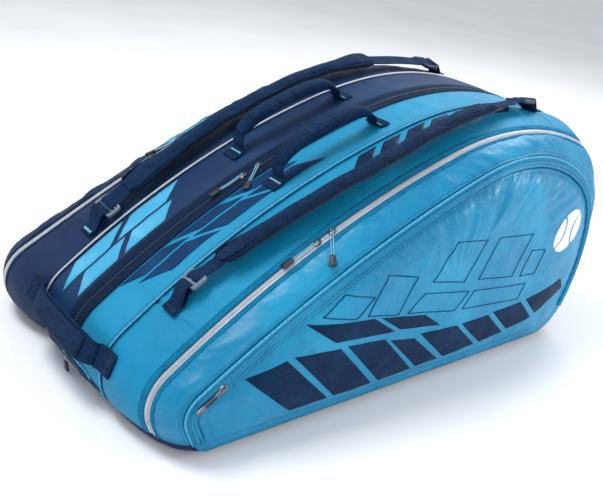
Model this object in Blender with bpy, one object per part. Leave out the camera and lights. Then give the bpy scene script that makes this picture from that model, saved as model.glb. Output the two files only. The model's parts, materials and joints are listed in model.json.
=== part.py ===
"""Racket tournament bag: three racket compartments side by side, standing on a flat base.

X runs along the bag towards the wide head end, Y across it towards the dark side, Z up.
The origin is the centre of the footprint, on the ground.
"""

import math

import bmesh
import bpy
from mathutils import Matrix, Vector

GAP = 0.0003  # clearance between pieces that touch

# The grab handle stands out at the narrow end, so the whole bag is moved along to centre its footprint.
CENTRING = 0.0065

# Distances from the middle plane to the seams and the zips.
SEAM_Y = 0.082
ZIP_Y = 0.169
PANEL_Y = 0.2143
CENTRE_TAPE_HALF = 0.0157

# Thicknesses.
WALL = 0.003
DIVIDER = 0.0022
TAPE = 0.002
BOARD = 0.0027
PANEL = 0.0026
PIPING_R = 0.002

# The side outline is a chain of tangent arcs, anticlockwise seen from -Y: each arc has a radius and ends
# at a heading. One chain is the middle of the bag and one its side panel; layers between blend the two.
ARCS = ("head_bottom", "head_end", "head_top", "crest", "ramp", "nose_top", "nose_bottom")
STEPS = (5, 4, 5, 7, 7, 5, 4)
CENTRE_RADII = (0.070, 0.380, 0.070, 0.515, 1.140, 0.065, 0.022)
CENTRE_HEADINGS = (0, 70, 103, 165, 197, 219.7, 293, 360)
CENTRE_START = (-0.3485, 0.0)
PANEL_RADII = (0.059, 0.234, 0.124, 0.245, 1.620, 0.030, 0.020)
PANEL_HEADINGS = (0, 68, 101.5, 146, 200, 215.5, 293, 360)
PANEL_START = (-0.312, 0.010)
ZIP_BLEND = 0.33  # where the zips lie between the middle outline (0) and the side panel (1)
RAMP = ARCS.index("ramp")

# The inner gussets bulge: (distance from the middle plane, blend) half way out to the zip.
INNER_BULGE = (0.125, 0.08)

# The far compartment is drawn out further at the narrow end than the near one, from this x on.
FAR_REACH = 0.022
FAR_REACH_START = -0.190
FAR_REACH_RUN = 0.155

# Stretches of the outline, as point numbers.
HEAD_FOOT = 1 + STEPS[0]
NOSE_TOP_START = 1 + sum(STEPS[:5])
END_POCKET_TOP = NOSE_TOP_START + 3
NOSE_FOOT = NOSE_TOP_START + STEPS[5] + 1

COVER_PIVOT_Z = 0.010
POCKET_INSET = 0.0125
WELT_INSET = 0.002
WELT_WIDTH = 0.010
WELT_DEPTH = 0.0025
POCKET_CENTRE = (0.03, 0.13)

# Zip sliders: x where each rests, and the angle that its pull lies at, from the narrow end (0) to
# straight across the bag (90).
ZIP_SLIDERS = {
    "near": {"narrow": (-0.160, 0), "head": (-0.140, 50)},
    "far": {"narrow": (-0.186, 0), "head": (-0.145, 16)},
}
CENTRE_SLIDERS = {"narrow": (-0.150, 0), "head": (-0.127, 35)}
SLIDER_END_X = {"narrow": -0.305, "head": 0.010}
POCKET_SLIDER_X = -0.306
POCKET_SLIDER_END_X = -0.060
SLIDER_LENGTH = 0.011
SLIDER_WIDTH = 0.008
SLIDER_LIFT = 0.0005
SLIDER_BRIDGE_Z = 0.0036
PULL_START = 0.0074
PULL_TAB = 0.014
PULL_LENGTH = {"zip": 0.050, "pocket": 0.036, "end": 0.030}
GUSSET_FALL = math.radians(15)  # how steeply the outer gusset falls away from the zip

# Carry handles: the two feet of each, and the arch between them.
HANDLE_Y = 0.050
HANDLE_FEET_X = {"near": (-0.130, 0.014), "far": (-0.122, 0.034)}
HANDLE_LIFT = 0.0075
HANDLE_RISE = 0.033
HANDLE_CORE = (0.012, 0.006)
GRIP_SIZE = (0.024, 0.018)
GRIP_MARGIN = 3  # spine points left bare at each end

# Shoulder straps: each runs from its ladder lock to its buckle and bows outwards between them.
STRAP_Y = {"near": 0.112, "far": 0.102}
STRAP_BOW = {"near": 0.030, "far": 0.020}
STRAP_LOCK_X = -0.2755
STRAP_BUCKLE_X = {"near": 0.230, "far": 0.258}
STRAP_PAD_X = (-0.250, 0.150)
STRAP_SIZE = (0.044, 0.012)
STRAP_LIFT = 0.0185
STRAP_ARCH = 0.004
STRAP_BANK = math.radians(12)
LOCK_SIZE = (0.022, 0.036, 0.005)
BUCKLE_SIZE = (0.030, 0.034, 0.006)
BUCKLE_RIM = 0.0045
ANCHOR_LENGTH = 0.026
ANCHOR_GAP = 0.010
WEBBING = (0.025, 0.0022)

COLOURS = {
    "teal": (0.05, 0.36, 0.56),
    "teal_light": (0.13, 0.42, 0.60),
    "navy": (0.035, 0.065, 0.14),
    "slate_navy": (0.045, 0.075, 0.16),
    "webbing_navy": (0.01, 0.05, 0.12),
    "black_mesh": (0.01, 0.012, 0.02),
    "silver": (0.62, 0.66, 0.72),
    "cyan": (0.20, 0.58, 0.76),
    "board_grey": (0.12, 0.13, 0.15),
    "metal": (0.30, 0.31, 0.34),
}
ROUGHNESS = {"teal": 0.45, "teal_light": 0.5, "silver": 0.35, "metal": 0.3, "cyan": 0.45}
METALLIC = {"metal": 0.9}


def clear_scene():
    for obj in list(bpy.data.objects):
        bpy.data.objects.remove(obj)


def material(name):
    found = bpy.data.materials.get(name)
    if found:
        return found
    made = bpy.data.materials.new(name)
    made.use_nodes = True
    shader = made.node_tree.nodes["Principled BSDF"]
    shader.inputs["Base Color"].default_value = (*COLOURS[name], 1)
    shader.inputs["Roughness"].default_value = ROUGHNESS.get(name, 0.7)
    shader.inputs["Metallic"].default_value = METALLIC.get(name, 0.0)
    made.diffuse_color = (*COLOURS[name], 1)
    return made


def finish(name, mesh, look, parent=None, smooth=True):
    """A node from a mesh in world coordinates, hung on its joint's empty."""
    mesh.materials.append(material(look))
    if smooth:
        mesh.shade_smooth()
        mesh.set_sharp_from_angle(angle=math.radians(35))
    obj = bpy.data.objects.new(name, mesh)
    bpy.context.scene.collection.objects.link(obj)
    hang(obj, parent)
    return obj


def hang(obj, parent):
    if parent:
        obj.parent = parent
        obj.matrix_parent_inverse = parent.matrix_world.inverted()


def solid(name, points, faces, look, parent=None):
    """A closed body from points and faces, its faces turned outwards."""
    mesh = bpy.data.meshes.new(name)
    bm = bmesh.new()
    verts = [bm.verts.new(p) for p in points]
    for face in faces:
        bm.faces.new([verts[i] for i in face])
    bmesh.ops.recalc_face_normals(bm, faces=bm.faces)
    bm.to_mesh(mesh)
    bm.free()
    return finish(name, mesh, look, parent)


def pivot(name, place, parent=None):
    """An empty on a joint's axis."""
    empty = bpy.data.objects.new(name, None)
    empty.empty_display_size = 0.03
    bpy.context.scene.collection.objects.link(empty)
    empty.location = place
    bpy.context.view_layer.update()
    hang(empty, parent)
    return empty


def blend(a, b, t):
    return a + (b - a) * t


def direction(heading):
    return Vector((math.cos(heading), 0, math.sin(heading)))


def outward(heading):
    return Vector((math.sin(heading), 0, -math.cos(heading)))


def chain(radii, headings, start, inset):
    """Points of one closed outline, drawn in by inset, and the centre of each of its arcs."""
    radii = [radius - inset for radius in radii]
    headings = [math.radians(heading) for heading in headings]
    # The straight stretches at the base and the nose are what closes the chain.
    travel = Vector((0, 0, 0))
    for k, radius in enumerate(radii):
        travel += radius * (outward(headings[k + 1]) - outward(headings[k]))
    nose = direction(headings[-2])
    nose_length = -travel.z / nose.z
    base_length = -travel.x - nose_length * nose.x
    here = Vector((start[0], 0, start[1] + inset))
    points = [here]
    here = here + Vector((base_length, 0, 0))
    points.append(here)
    centres = []
    for k, radius in enumerate(radii):
        if k == len(radii) - 1:
            here = here + nose_length * nose
            points.append(here)
        centre = here - radius * outward(headings[k])
        centres.append(centre)
        for step in range(1, STEPS[k] + 1):
            points.append(centre + radius * outward(blend(headings[k], headings[k + 1], step / STEPS[k])))
        here = points[-1]
    return points[:-1], centres


def outline_and_centres(t, inset=0.0):
    """The outline between the middle one (t = 0) and the side panel's (t = 1), and its arcs' centres."""
    middle = chain(CENTRE_RADII, CENTRE_HEADINGS, CENTRE_START, inset)
    panel = chain(PANEL_RADII, PANEL_HEADINGS, PANEL_START, inset)
    points, centres = ([blend(a, b, t) for a, b in zip(*pair)] for pair in zip(middle, panel))
    # The base stays flat as far out as the zips.
    rise = PANEL_START[1] * (max(0.0, (t - ZIP_BLEND) / (1 - ZIP_BLEND)) - t)
    for k in (*range(HEAD_FOOT), *range(NOSE_FOOT + 1, len(points))):
        points[k] = points[k] + Vector((0, 0, rise))
    return points, centres


def reach(x, y):
    """How far a point of the far compartment is drawn out towards the narrow end."""
    share = min(1.0, max(0.0, (y - SEAM_Y) / (ZIP_Y - SEAM_Y)))
    run = max(0.0, (FAR_REACH_START - x) / FAR_REACH_RUN)
    return FAR_REACH * share * run * run


def outline(t, inset=0.0, y=0.0):
    """The outline at a distance y from the middle plane."""
    points = outline_and_centres(t, inset)[0]
    return [Vector((p.x - reach(p.x, y), y, p.z)) for p in points]


def stretch(t, inset, first, last, trim=GAP, y=0.0):
    """Outline points first to last, going round past the start if last is lower, trimmed at both ends."""
    points = outline(t, inset, y)
    if last < first:
        last += len(points)
    run = [points[i % len(points)] for i in range(first, last + 1)]
    run[0] = run[0] + (run[1] - run[0]).normalized() * trim
    run[-1] = run[-1] + (run[-2] - run[-1]).normalized() * trim
    return run


def at_y(points, y):
    return [Vector((p.x, y, p.z)) for p in points]


def bridge(rows, closed_rows=True):
    """Quads between successive rows of equal length, and a cap on the first and the last row."""
    count = len(rows[0])
    points = [p for row in rows for p in row]
    faces = [tuple(range(count)), tuple(range(len(points) - count, len(points)))]
    for r in range(len(rows) - 1):
        for k in range(count if closed_rows else count - 1):
            n = (k + 1) % count
            faces.append((r * count + k, r * count + n, (r + 1) * count + n, (r + 1) * count + k))
    return points, faces


def band(name, stations, wall, look, parent=None, first=HEAD_FOOT, last=NOSE_FOOT):
    """A strip bent along the outline. Each station across it is (y, blend, inset of its outer face)."""
    outer = [stretch(t, inset, first, last, y=y) for y, t, inset in stations]
    inner = [stretch(t, inset + wall, first, last, y=y) for y, t, inset in stations]
    rails = outer + inner[::-1]
    rows = [[rail[i] for rail in rails] for i in range(len(rails[0]))]
    return solid(name, *bridge(rows), look, parent)


def plate(name, points, y0, y1, look, parent=None):
    return solid(name, *bridge([at_y(points, y0), at_y(points, y1)]), look, parent)


def tube(name, points, radius, look, parent=None):
    """A round cord along a line of points, with filled ends."""
    curve = bpy.data.curves.new(name, "CURVE")
    curve.dimensions = "3D"
    curve.bevel_depth = radius
    curve.bevel_resolution = 1
    curve.use_fill_caps = True
    spline = curve.splines.new("POLY")
    spline.points.add(len(points) - 1)
    for point, place in zip(spline.points, points):
        point.co = (*place, 1)
    curve.materials.append(material(look))
    obj = bpy.data.objects.new(name, curve)
    bpy.context.scene.collection.objects.link(obj)
    hang(obj, parent)
    return obj


def sweep(name, spine, sections, look, parent=None):
    """A bar along a spine: at each spine point a frame (side, up) carries its section's (a, b) points."""
    rows = [[p + side * a + up * b for a, b in section] for (p, side, up), section in zip(spine, sections)]
    return solid(name, *bridge(rows), look, parent)


def rounded_section(width, height, sides=8):
    """A flat oval section."""
    points = []
    for k in range(sides):
        angle = 2 * math.pi * (k + 0.5) / sides
        c, s = math.cos(angle), math.sin(angle)
        a = math.copysign(abs(c) ** 0.6, c) * width / 2
        b = math.copysign(abs(s) ** 0.6, s) * height / 2
        points.append((a, b))
    return points


def flat_section(width, height):
    a, b = width / 2, height / 2
    return [(-a, -b), (a, -b), (a, b), (-a, b)]


def ramp_place(t, x, inset=0.0, y=0.0):
    """Point and heading on the ramp or crest arc at a given x and y."""
    centres = outline_and_centres(t, inset)[1]
    plain = x + reach(x, y)
    shift = reach(plain, y)
    for k in (RAMP, RAMP - 1):
        radius = blend(CENTRE_RADII[k], PANEL_RADII[k], t) - inset
        start = math.radians(blend(CENTRE_HEADINGS[k], PANEL_HEADINGS[k], t))
        heading = math.pi - math.asin(max(-1, min(1, (x + shift - centres[k].x) / radius)))
        if heading >= start:
            break
    place = centres[k] + radius * outward(heading)
    return Vector((place.x - shift, y, place.z)), heading


def run_centre(t, start, end, inset=0.0, y=0.0):
    """Centre of the circle that a slider follows from x = start to x = end."""
    a, b, c = (ramp_place(t, x, inset, y)[0] for x in (start, (start + end) / 2, end))
    p, q = b - a, c - a
    turn = 2 * (p.x * q.z - p.z * q.x)
    return a + Vector((q.z * p.dot(p) - p.z * q.dot(q), 0, p.x * q.dot(q) - q.x * p.dot(p))) / turn


# ---------------------------------------------------------------- the fixed body


def base():
    edge = PANEL_Y - PANEL - GAP
    stations = [(-edge, 1, 0), (-ZIP_Y, ZIP_BLEND, 0), (-SEAM_Y, 0, 0)]
    stations += [(-y, t, inset) for y, t, inset in stations[::-1]]
    band("base_panel", stations, WALL, "navy", first=NOSE_FOOT, last=HEAD_FOOT)
    low = WALL + GAP
    corners = [(-0.338, low), (0.280, low), (0.280, low + BOARD), (-0.338, low + BOARD)]
    plate("base_board", [Vector((x, 0, z)) for x, z in corners], -0.160, 0.160, "board_grey")


def divider(name, y, look):
    top = stretch(0, GAP, HEAD_FOOT, NOSE_FOOT, 2 * GAP)
    bottom = stretch(0, WALL + BOARD + 3 * GAP, NOSE_FOOT, HEAD_FOOT, 0)
    plate(name, top + bottom, y - DIVIDER / 2, y + DIVIDER / 2, look)


def gussets(side, sign, inner_look, middle_look, piping_look):
    seam = DIVIDER / 2 + GAP
    zip_edge = ZIP_Y - 0.0040 - GAP
    bulge_y, bulge_blend = INNER_BULGE
    inner = [
        (sign * (SEAM_Y + seam), 0, 0),
        (sign * bulge_y, bulge_blend, 0),
        (sign * zip_edge, ZIP_BLEND, 0),
    ]
    band(f"{side}_inner_gusset", inner, WALL, inner_look)
    middle = [
        (sign * (SEAM_Y - seam), 0, 0),
        (sign * (CENTRE_TAPE_HALF + GAP), 0, 0),
    ]
    band(f"{side}_middle_gusset", middle, WALL, middle_look, last=END_POCKET_TOP)
    run = stretch(0, -PIPING_R - 0.0004, HEAD_FOOT, NOSE_FOOT)
    tube(f"{side}_seam_piping", at_y(run, sign * SEAM_Y), PIPING_R, piping_look)
    tape = [
        (sign * (ZIP_Y - GAP / 2), ZIP_BLEND, 0.0005),
        (sign * (ZIP_Y - 0.0040), ZIP_BLEND, 0.0005),
    ]
    band(f"{side}_zip_inner_tape", tape, TAPE, "silver")


def centre_tape():
    edges = [(-CENTRE_TAPE_HALF, 0, 0.0005), (CENTRE_TAPE_HALF, 0, 0.0005)]
    band("centre_zip_tape", edges, TAPE, "webbing_navy", last=END_POCKET_TOP)


def end_pocket_liner():
    """A fabric box behind the end pocket's door, open towards it."""
    half, wall = 0.074, 0.0012
    mouth, back = -0.346, -0.150
    low = WALL + BOARD + 3 * GAP
    high = 0.052
    outer = [(-half, low), (half, low), (half, high), (-half, high)]
    inner = [
        (-half + wall, low + wall),
        (half - wall, low + wall),
        (half - wall, high - wall),
        (-half + wall, high - wall),
    ]
    rows = [
        [Vector((back - wall, y, z)) for y, z in inner],
        [Vector((mouth, y, z)) for y, z in inner],
        [Vector((mouth, y, z)) for y, z in outer],
        [Vector((back, y, z)) for y, z in outer],
    ]
    solid("end_pocket_liner", *bridge(rows), "board_grey")


# ---------------------------------------------------------------- covers and pockets


def cover(side, sign, gusset_look, panel_look, piping_look):
    hinge = pivot(f"{side}_cover_hinge", (0, sign * PANEL_Y, COVER_PIVOT_Z))
    gusset = [
        (sign * (ZIP_Y + 0.0043 + GAP), ZIP_BLEND + 0.02, 0),
        (sign * 0.195, 0.60, 0),
        (sign * (PANEL_Y - PANEL - GAP), 1, 0),
    ]
    band(f"{side}_outer_gusset", gusset, WALL, gusset_look, hinge)
    tape = [
        (sign * (ZIP_Y + GAP / 2), ZIP_BLEND, 0.0005),
        (sign * (ZIP_Y + 0.0043), ZIP_BLEND, 0.0005),
    ]
    band(f"{side}_zip_outer_tape", tape, TAPE, "silver", hinge)
    rim = outline(1, y=sign * PANEL_Y)
    plate(f"{side}_side_panel", rim, sign * PANEL_Y, sign * (PANEL_Y - PANEL), panel_look, hinge)
    run = stretch(1, -PIPING_R - 0.0004, HEAD_FOOT, NOSE_FOOT, y=sign * PANEL_Y)
    tube(f"{side}_panel_piping", at_y(run, sign * (PANEL_Y - 0.0013)), PIPING_R, piping_look, hinge)
    face = PANEL_Y + GAP
    welt = [(sign * face, 1, WELT_INSET), (sign * (face + WELT_DEPTH), 1, WELT_INSET)]
    band(f"{side}_pocket_welt", welt, WELT_WIDTH, gusset_look, hinge)
    pocket(side, sign, panel_look, hinge)
    return hinge


def pocket(side, sign, look, cover_hinge):
    """The bulging front of the side pocket, a shallow dish that is open towards the side panel."""
    rim = outline(1, POCKET_INSET, sign * PANEL_Y)
    middle = Vector((POCKET_CENTRE[0], 0, POCKET_CENTRE[1]))
    foot = min(p.z for p in rim)
    hinge = pivot(f"{side}_pocket_hinge", (0, sign * (PANEL_Y + GAP), foot), cover_hinge)

    def ring(scale, depth):
        return at_y([blend(middle, p, scale) for p in rim], sign * (PANEL_Y + depth))

    inside = [ring(0.80, 0.0098), ring(0.93, 0.0046), ring(0.987, GAP)]
    outside = [ring(1.0, GAP), ring(0.94, 0.0066), ring(0.80, 0.0120)]
    solid(f"{side}_pocket_front", *bridge(inside + outside), look, hinge)


# ---------------------------------------------------------------- zip sliders and pulls


def local_frame(place, along, up):
    """Matrix whose X runs along, Z up and Y across, at a place."""
    along = along.normalized()
    up = up.normalized()
    across = up.cross(along)
    turn = Matrix((along, across, up)).transposed()
    return Matrix.Translation(place) @ turn.to_4x4()


def slider(name, frame, look, parent):
    """A zip slider: a low body with a bridge for the pull. Its side profile is drawn across the zip."""
    half = SLIDER_LENGTH / 2
    profile = [(-half, 0), (half, 0), (half, 0.0018), (0.0035, 0.0026), (0.003, 0.0046)]
    profile += [(-x, z) for x, z in profile[:1:-1]]
    rows = [[frame @ Vector((x, y, z)) for x, z in profile] for y in (-SLIDER_WIDTH / 2, SLIDER_WIDTH / 2)]
    return solid(name, *bridge(rows), look, parent)


def pull(name, frame, look, parent, length):
    """A cord loop and its tab, lying along -X of the frame, turned by the hinge at the frame's origin."""
    stations = (
        (PULL_START, 0.0030, 0.0018),
        (length - PULL_TAB - 0.0020, 0.0030, 0.0018),
        (length - PULL_TAB, 0.0070, 0.0030),
        (length, 0.0095, 0.0036),
        (length + 0.0015, 0.0070, 0.0024),
    )
    rows = []
    for x, width, height in stations:
        rows.append([frame @ Vector((-x, a, b)) for a, b in rounded_section(width, height)])
    return solid(name, *bridge(rows), look, parent)


def slider_set(name, t, x, end_x, y, parent, lean=0.0, fall=0.0):
    """A slider on the zip at x that runs to end_x, its pull, and the empties on their axes. The pull lies
    down the zip, turned outwards by the angle lean, on a gusset that falls away by the angle fall."""
    place, heading = ramp_place(t, x, y=y)
    normal = outward(heading)
    along = -direction(heading)
    place = place + normal * SLIDER_LIFT
    travel = pivot(f"{name}_travel", run_centre(t, x, end_x, y=y), parent)
    slider(f"{name}_slider", local_frame(place, along, normal), "metal", travel)
    eye = place + normal * SLIDER_BRIDGE_Z
    swing = pivot(f"{name}_swing", eye, travel)
    side = Vector((0, math.copysign(1, y) if y else -1, 0))
    slope = side * math.cos(fall) - normal * math.sin(fall)
    lie = -along * math.cos(lean) + slope * math.sin(lean)
    up = normal * math.cos(fall) + side * math.sin(fall) if lean else normal
    up = (up - lie * up.dot(lie)).normalized()
    pull(f"{name}_pull", local_frame(eye, -lie, up), "webbing_navy", swing, PULL_LENGTH["zip"])


def pocket_slider_set(side, sign, cover_hinge):
    """The pocket's slider lies on the welt, flat against the side panel, its pull along the welt."""
    inset = WELT_INSET + WELT_WIDTH / 2
    y = sign * (PANEL_Y + WELT_DEPTH + 2 * GAP)
    place, heading = ramp_place(1, POCKET_SLIDER_X, inset, y)
    normal = Vector((0, sign, 0))
    along = -direction(heading)
    centre = run_centre(1, POCKET_SLIDER_X, POCKET_SLIDER_END_X, inset, y)
    travel = pivot(f"{side}_pocket_zip_travel", centre, cover_hinge)
    slider(f"{side}_pocket_zip_slider", local_frame(place, along, normal), "metal", travel)
    eye = place + normal * SLIDER_BRIDGE_Z
    swing = pivot(f"{side}_pocket_zip_swing", eye, travel)
    frame = local_frame(eye, along, normal)
    pull(f"{side}_pocket_zip_pull", frame, "metal", swing, PULL_LENGTH["pocket"])


def nose_heading(point):
    """Heading of the middle outline at one of the points of its nose_top arc."""
    start, end = CENTRE_HEADINGS[5:7]
    return math.radians(blend(start, end, (point - NOSE_TOP_START) / STEPS[5]))


def end_pocket():
    """The door of the end pocket, hinged along its foot, with its slider and pull."""
    edge = SEAM_Y - PIPING_R - 0.0009
    stations = [(-edge, 0, 0), (-edge * 0.6, 0, -0.004), (edge * 0.6, 0, -0.004), (edge, 0, 0)]
    foot = outline(0)[NOSE_FOOT]
    hinge = pivot("end_pocket_hinge", (foot.x, 0, foot.z))
    band("end_pocket_door", stations, WALL, "teal", hinge, first=END_POCKET_TOP, last=NOSE_FOOT)
    place = outline(0, -0.0048)[END_POCKET_TOP + 1]
    heading = nose_heading(END_POCKET_TOP + 1)
    normal = outward(heading)
    frame = local_frame(place, Vector((0, 1, 0)), normal)
    slider("end_pocket_slider", frame, "metal", hinge)
    eye = place + normal * SLIDER_BRIDGE_Z
    swing = pivot("end_pocket_swing", eye, hinge)
    frame = local_frame(eye, -direction(heading), normal)
    pull("end_pocket_pull", frame, "webbing_navy", swing, PULL_LENGTH["end"])


# ---------------------------------------------------------------- handles


def arch_spine(start, end, up, rise, count, power=0.75):
    """Frames along an arch from start to end, in the plane of up."""
    middle = (start + end) / 2
    half = (end - start) / 2
    points = []
    for k in range(count):
        angle = math.pi * k / (count - 1)
        c, s = math.cos(angle), math.sin(angle)
        points.append(middle - half * math.copysign(abs(c) ** power, c) + up * rise * abs(s) ** power)
    side = half.normalized().cross(up)
    frames = []
    for k, p in enumerate(points):
        before, after = points[max(k - 1, 0)], points[min(k + 1, count - 1)]
        tangent = (after - before).normalized()
        frames.append((p, side, side.cross(tangent)))
    return frames


def sleeve(name, spine, outer, inner, look, parent):
    """A tube along a spine, open at both ends, from an outer and an inner section of equal length."""
    rows = [[p + side * a + up * b for a, b in outer] for p, side, up in spine]
    rows += [[p + side * a + up * b for a, b in inner] for p, side, up in spine[::-1]]
    points, faces = bridge(rows)
    last = len(points) - len(inner)
    joint = [(k, last + k, last + (k + 1) % len(inner), (k + 1) % len(inner)) for k in range(len(inner))]
    solid(name, points, faces[2:] + joint, look, parent)


def handle(side, sign):
    """A webbing arch with a padded grip round its middle, swinging about the line through its feet."""
    feet = []
    for x in HANDLE_FEET_X[side]:
        place, heading = ramp_place(0, x, y=sign * HANDLE_Y)
        feet.append(place + outward(heading) * HANDLE_LIFT)
    chord = (feet[1] - feet[0]).normalized()
    up = chord.cross(Vector((0, 1, 0)))
    swing = pivot(f"{side}_handle_swing", (feet[0] + feet[1]) / 2)
    spine = arch_spine(feet[0], feet[1], up, HANDLE_RISE, 17)
    width, height = HANDLE_CORE
    core = [rounded_section(width, height)] * len(spine)
    core[0] = core[-1] = rounded_section(width * 0.6, height * 0.6)
    sweep(f"{side}_handle_webbing", spine, core, "webbing_navy", swing)
    bore = rounded_section(width + 4 * GAP, height + 4 * GAP)
    grip = spine[GRIP_MARGIN:-GRIP_MARGIN]
    sleeve(f"{side}_handle_grip", grip, rounded_section(*GRIP_SIZE), bore, "webbing_navy", swing)


def end_handle():
    """The grab handle across the narrow end: flat webbing bowed out from seam to seam."""
    place = outline(0)[END_POCKET_TOP - 1]
    normal = outward(nose_heading(END_POCKET_TOP - 1))
    lift = normal * 0.0075
    ends = [Vector((place.x, y, place.z)) + lift for y in (-SEAM_Y + 0.006, SEAM_Y - 0.006)]
    swing = pivot("end_handle_swing", (ends[0] + ends[1]) / 2)
    spine = arch_spine(ends[0], ends[1], normal, 0.016, 13, 0.7)
    sections = []
    for k, (p, side, up) in enumerate(spine):
        reach = min(k, len(spine) - 1 - k)
        width = (0.010, 0.016, 0.026, 0.034)[min(reach, 3)]
        sections.append(flat_section(width, 0.003))
    sweep("end_grab_handle", spine, sections, "webbing_navy", swing)


# ---------------------------------------------------------------- shoulder straps


def inner_gusset_blend(y):
    """Where the inner gusset lies between the middle outline and the side panel's."""
    bulge_y, bulge_blend = INNER_BULGE
    if y < bulge_y:
        return bulge_blend * (y - SEAM_Y) / (bulge_y - SEAM_Y)
    return blend(bulge_blend, ZIP_BLEND, (y - bulge_y) / (ZIP_Y - bulge_y))


def strap_frame(side, sign, x, lift, bank=STRAP_BANK):
    """Place, across and up of the strap at x, lifted off the inner gusset, with its outer edge raised."""
    share = (x - STRAP_LOCK_X) / (STRAP_BUCKLE_X[side] - STRAP_LOCK_X)
    y = STRAP_Y[side] + STRAP_BOW[side] * math.sin(math.pi * min(1.0, max(0.0, share)))
    place, heading = ramp_place(inner_gusset_blend(y), x, y=sign * y)
    normal = outward(heading)
    across = Vector((0, sign, 0)) * math.cos(bank) + normal * math.sin(bank)
    along = -direction(heading)
    return place + normal * lift, across, across.cross(along) * -sign


def strap(side, sign):
    """A padded strap over the inner gusset between two anchors, with its ladder lock and head buckle."""
    buckle_x = STRAP_BUCKLE_X[side]
    lock_lift = STRAP_LIFT - 0.003
    lock = strap_frame(side, sign, STRAP_LOCK_X, lock_lift)
    head = strap_frame(side, sign, buckle_x, lock_lift)
    swing = pivot(f"{side}_strap_swing", (lock[0] + head[0]) / 2)
    spine, sections = [], []
    first = STRAP_LOCK_X + LOCK_SIZE[0] / 2 + 2 * GAP
    for x in (first, first + 0.008):
        spine.append(strap_frame(side, sign, x, lock_lift))
        sections.append(rounded_section(*WEBBING))
    count = 20
    width, thickness = STRAP_SIZE
    for k in range(count):
        u = k / (count - 1)
        lift = STRAP_LIFT + STRAP_ARCH * math.sin(math.pi * u)
        spine.append(strap_frame(side, sign, blend(*STRAP_PAD_X, u), lift))
        full = 6 * min(u, 1 - u)
        sections.append(rounded_section(width * min(1, 0.6 + full), thickness * min(1, 0.5 + full)))
    last = buckle_x - BUCKLE_SIZE[0] / 2 - 2 * GAP
    for k in range(1, 5):
        spine.append(strap_frame(side, sign, blend(STRAP_PAD_X[1], last, k / 4), lock_lift))
        sections.append(rounded_section(*WEBBING))
    sweep(f"{side}_strap_pad", spine, sections, "webbing_navy", swing)
    buckle(f"{side}_head_buckle", head, BUCKLE_SIZE, swing)
    buckle(f"{side}_ladder_lock", lock, LOCK_SIZE, swing)
    for end, x, turn in (("narrow", STRAP_LOCK_X, -1), ("head", buckle_x, 1)):
        near_end = x + turn * ANCHOR_GAP
        anchor(f"{side}_strap_{end}_anchor", side, sign, near_end, near_end + turn * ANCHOR_LENGTH)


def buckle(name, frame, size, parent):
    """A moulded frame with a slot for the webbing."""
    place, across, up = frame
    along = across.cross(up)
    length, width, thickness = size

    def loop(grow, level):
        a, b = along * (length / 2 - grow), across * (width / 2 - grow)
        return [place + side + up * level for side in (-a - b, a - b, a + b, b - a)]

    half = thickness / 2
    points, faces = bridge([loop(0, -half), loop(0, half), loop(BUCKLE_RIM, half), loop(BUCKLE_RIM, -half)])
    joint = [(k, 12 + k, 12 + (k + 1) % 4, (k + 1) % 4) for k in range(4)]
    solid(name, points, faces[2:] + joint, "navy", parent)


def anchor(name, side, sign, start, end):
    """Webbing sewn flat on the gusset between two places."""
    count = 4
    lift = 0.0020 + WEBBING[1] / 2
    spine = [strap_frame(side, sign, blend(start, end, k / (count - 1)), lift, 0.0) for k in range(count)]
    sweep(name, spine, [flat_section(*WEBBING)] * count, "webbing_navy")


clear_scene()
base()
divider("near_divider", -SEAM_Y, "navy")
divider("far_divider", SEAM_Y, "navy")
gussets("near", -1, "teal_light", "teal", "cyan")
gussets("far", 1, "navy", "slate_navy", "silver")
centre_tape()
end_pocket_liner()
for side, sign, gusset_look, panel_look, piping_look in (
    ("near", -1, "teal", "teal", "cyan"),
    ("far", 1, "navy", "navy", "navy"),
):
    cover_hinge = cover(side, sign, gusset_look, panel_look, piping_look)
    for end, (slider_x, lean) in ZIP_SLIDERS[side].items():
        name = f"{side}_zip_{end}"
        run = (slider_x, SLIDER_END_X[end], sign * ZIP_Y)
        slider_set(name, ZIP_BLEND, *run, cover_hinge, math.radians(lean), GUSSET_FALL)
    if side == "near":
        pocket_slider_set(side, sign, cover_hinge)
    handle(side, sign)
    strap(side, sign)
for end, (slider_x, lean) in CENTRE_SLIDERS.items():
    slider_set(f"centre_zip_{end}", 0, slider_x, SLIDER_END_X[end], 0, None, math.radians(lean))
end_pocket()
end_handle()
for obj in bpy.data.objects:
    if obj.parent is None:
        obj.location.x += CENTRING
bpy.context.view_layer.update()
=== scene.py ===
"""Looks of the racket tournament bag: lofted fabric shells, zips, straps and handles round the CAD frame.

X runs along the bag towards the wide head end, Y across it towards the dark side, Z up, in metres.
Stations count round the side outline, one unit to each of its nine stretches, anticlockwise seen from -Y.
"""

import json
import math

import bmesh
import bpy
import numpy as np
from mathutils import Matrix, Vector, noise
from mathutils.bvhtree import BVHTree

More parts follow.
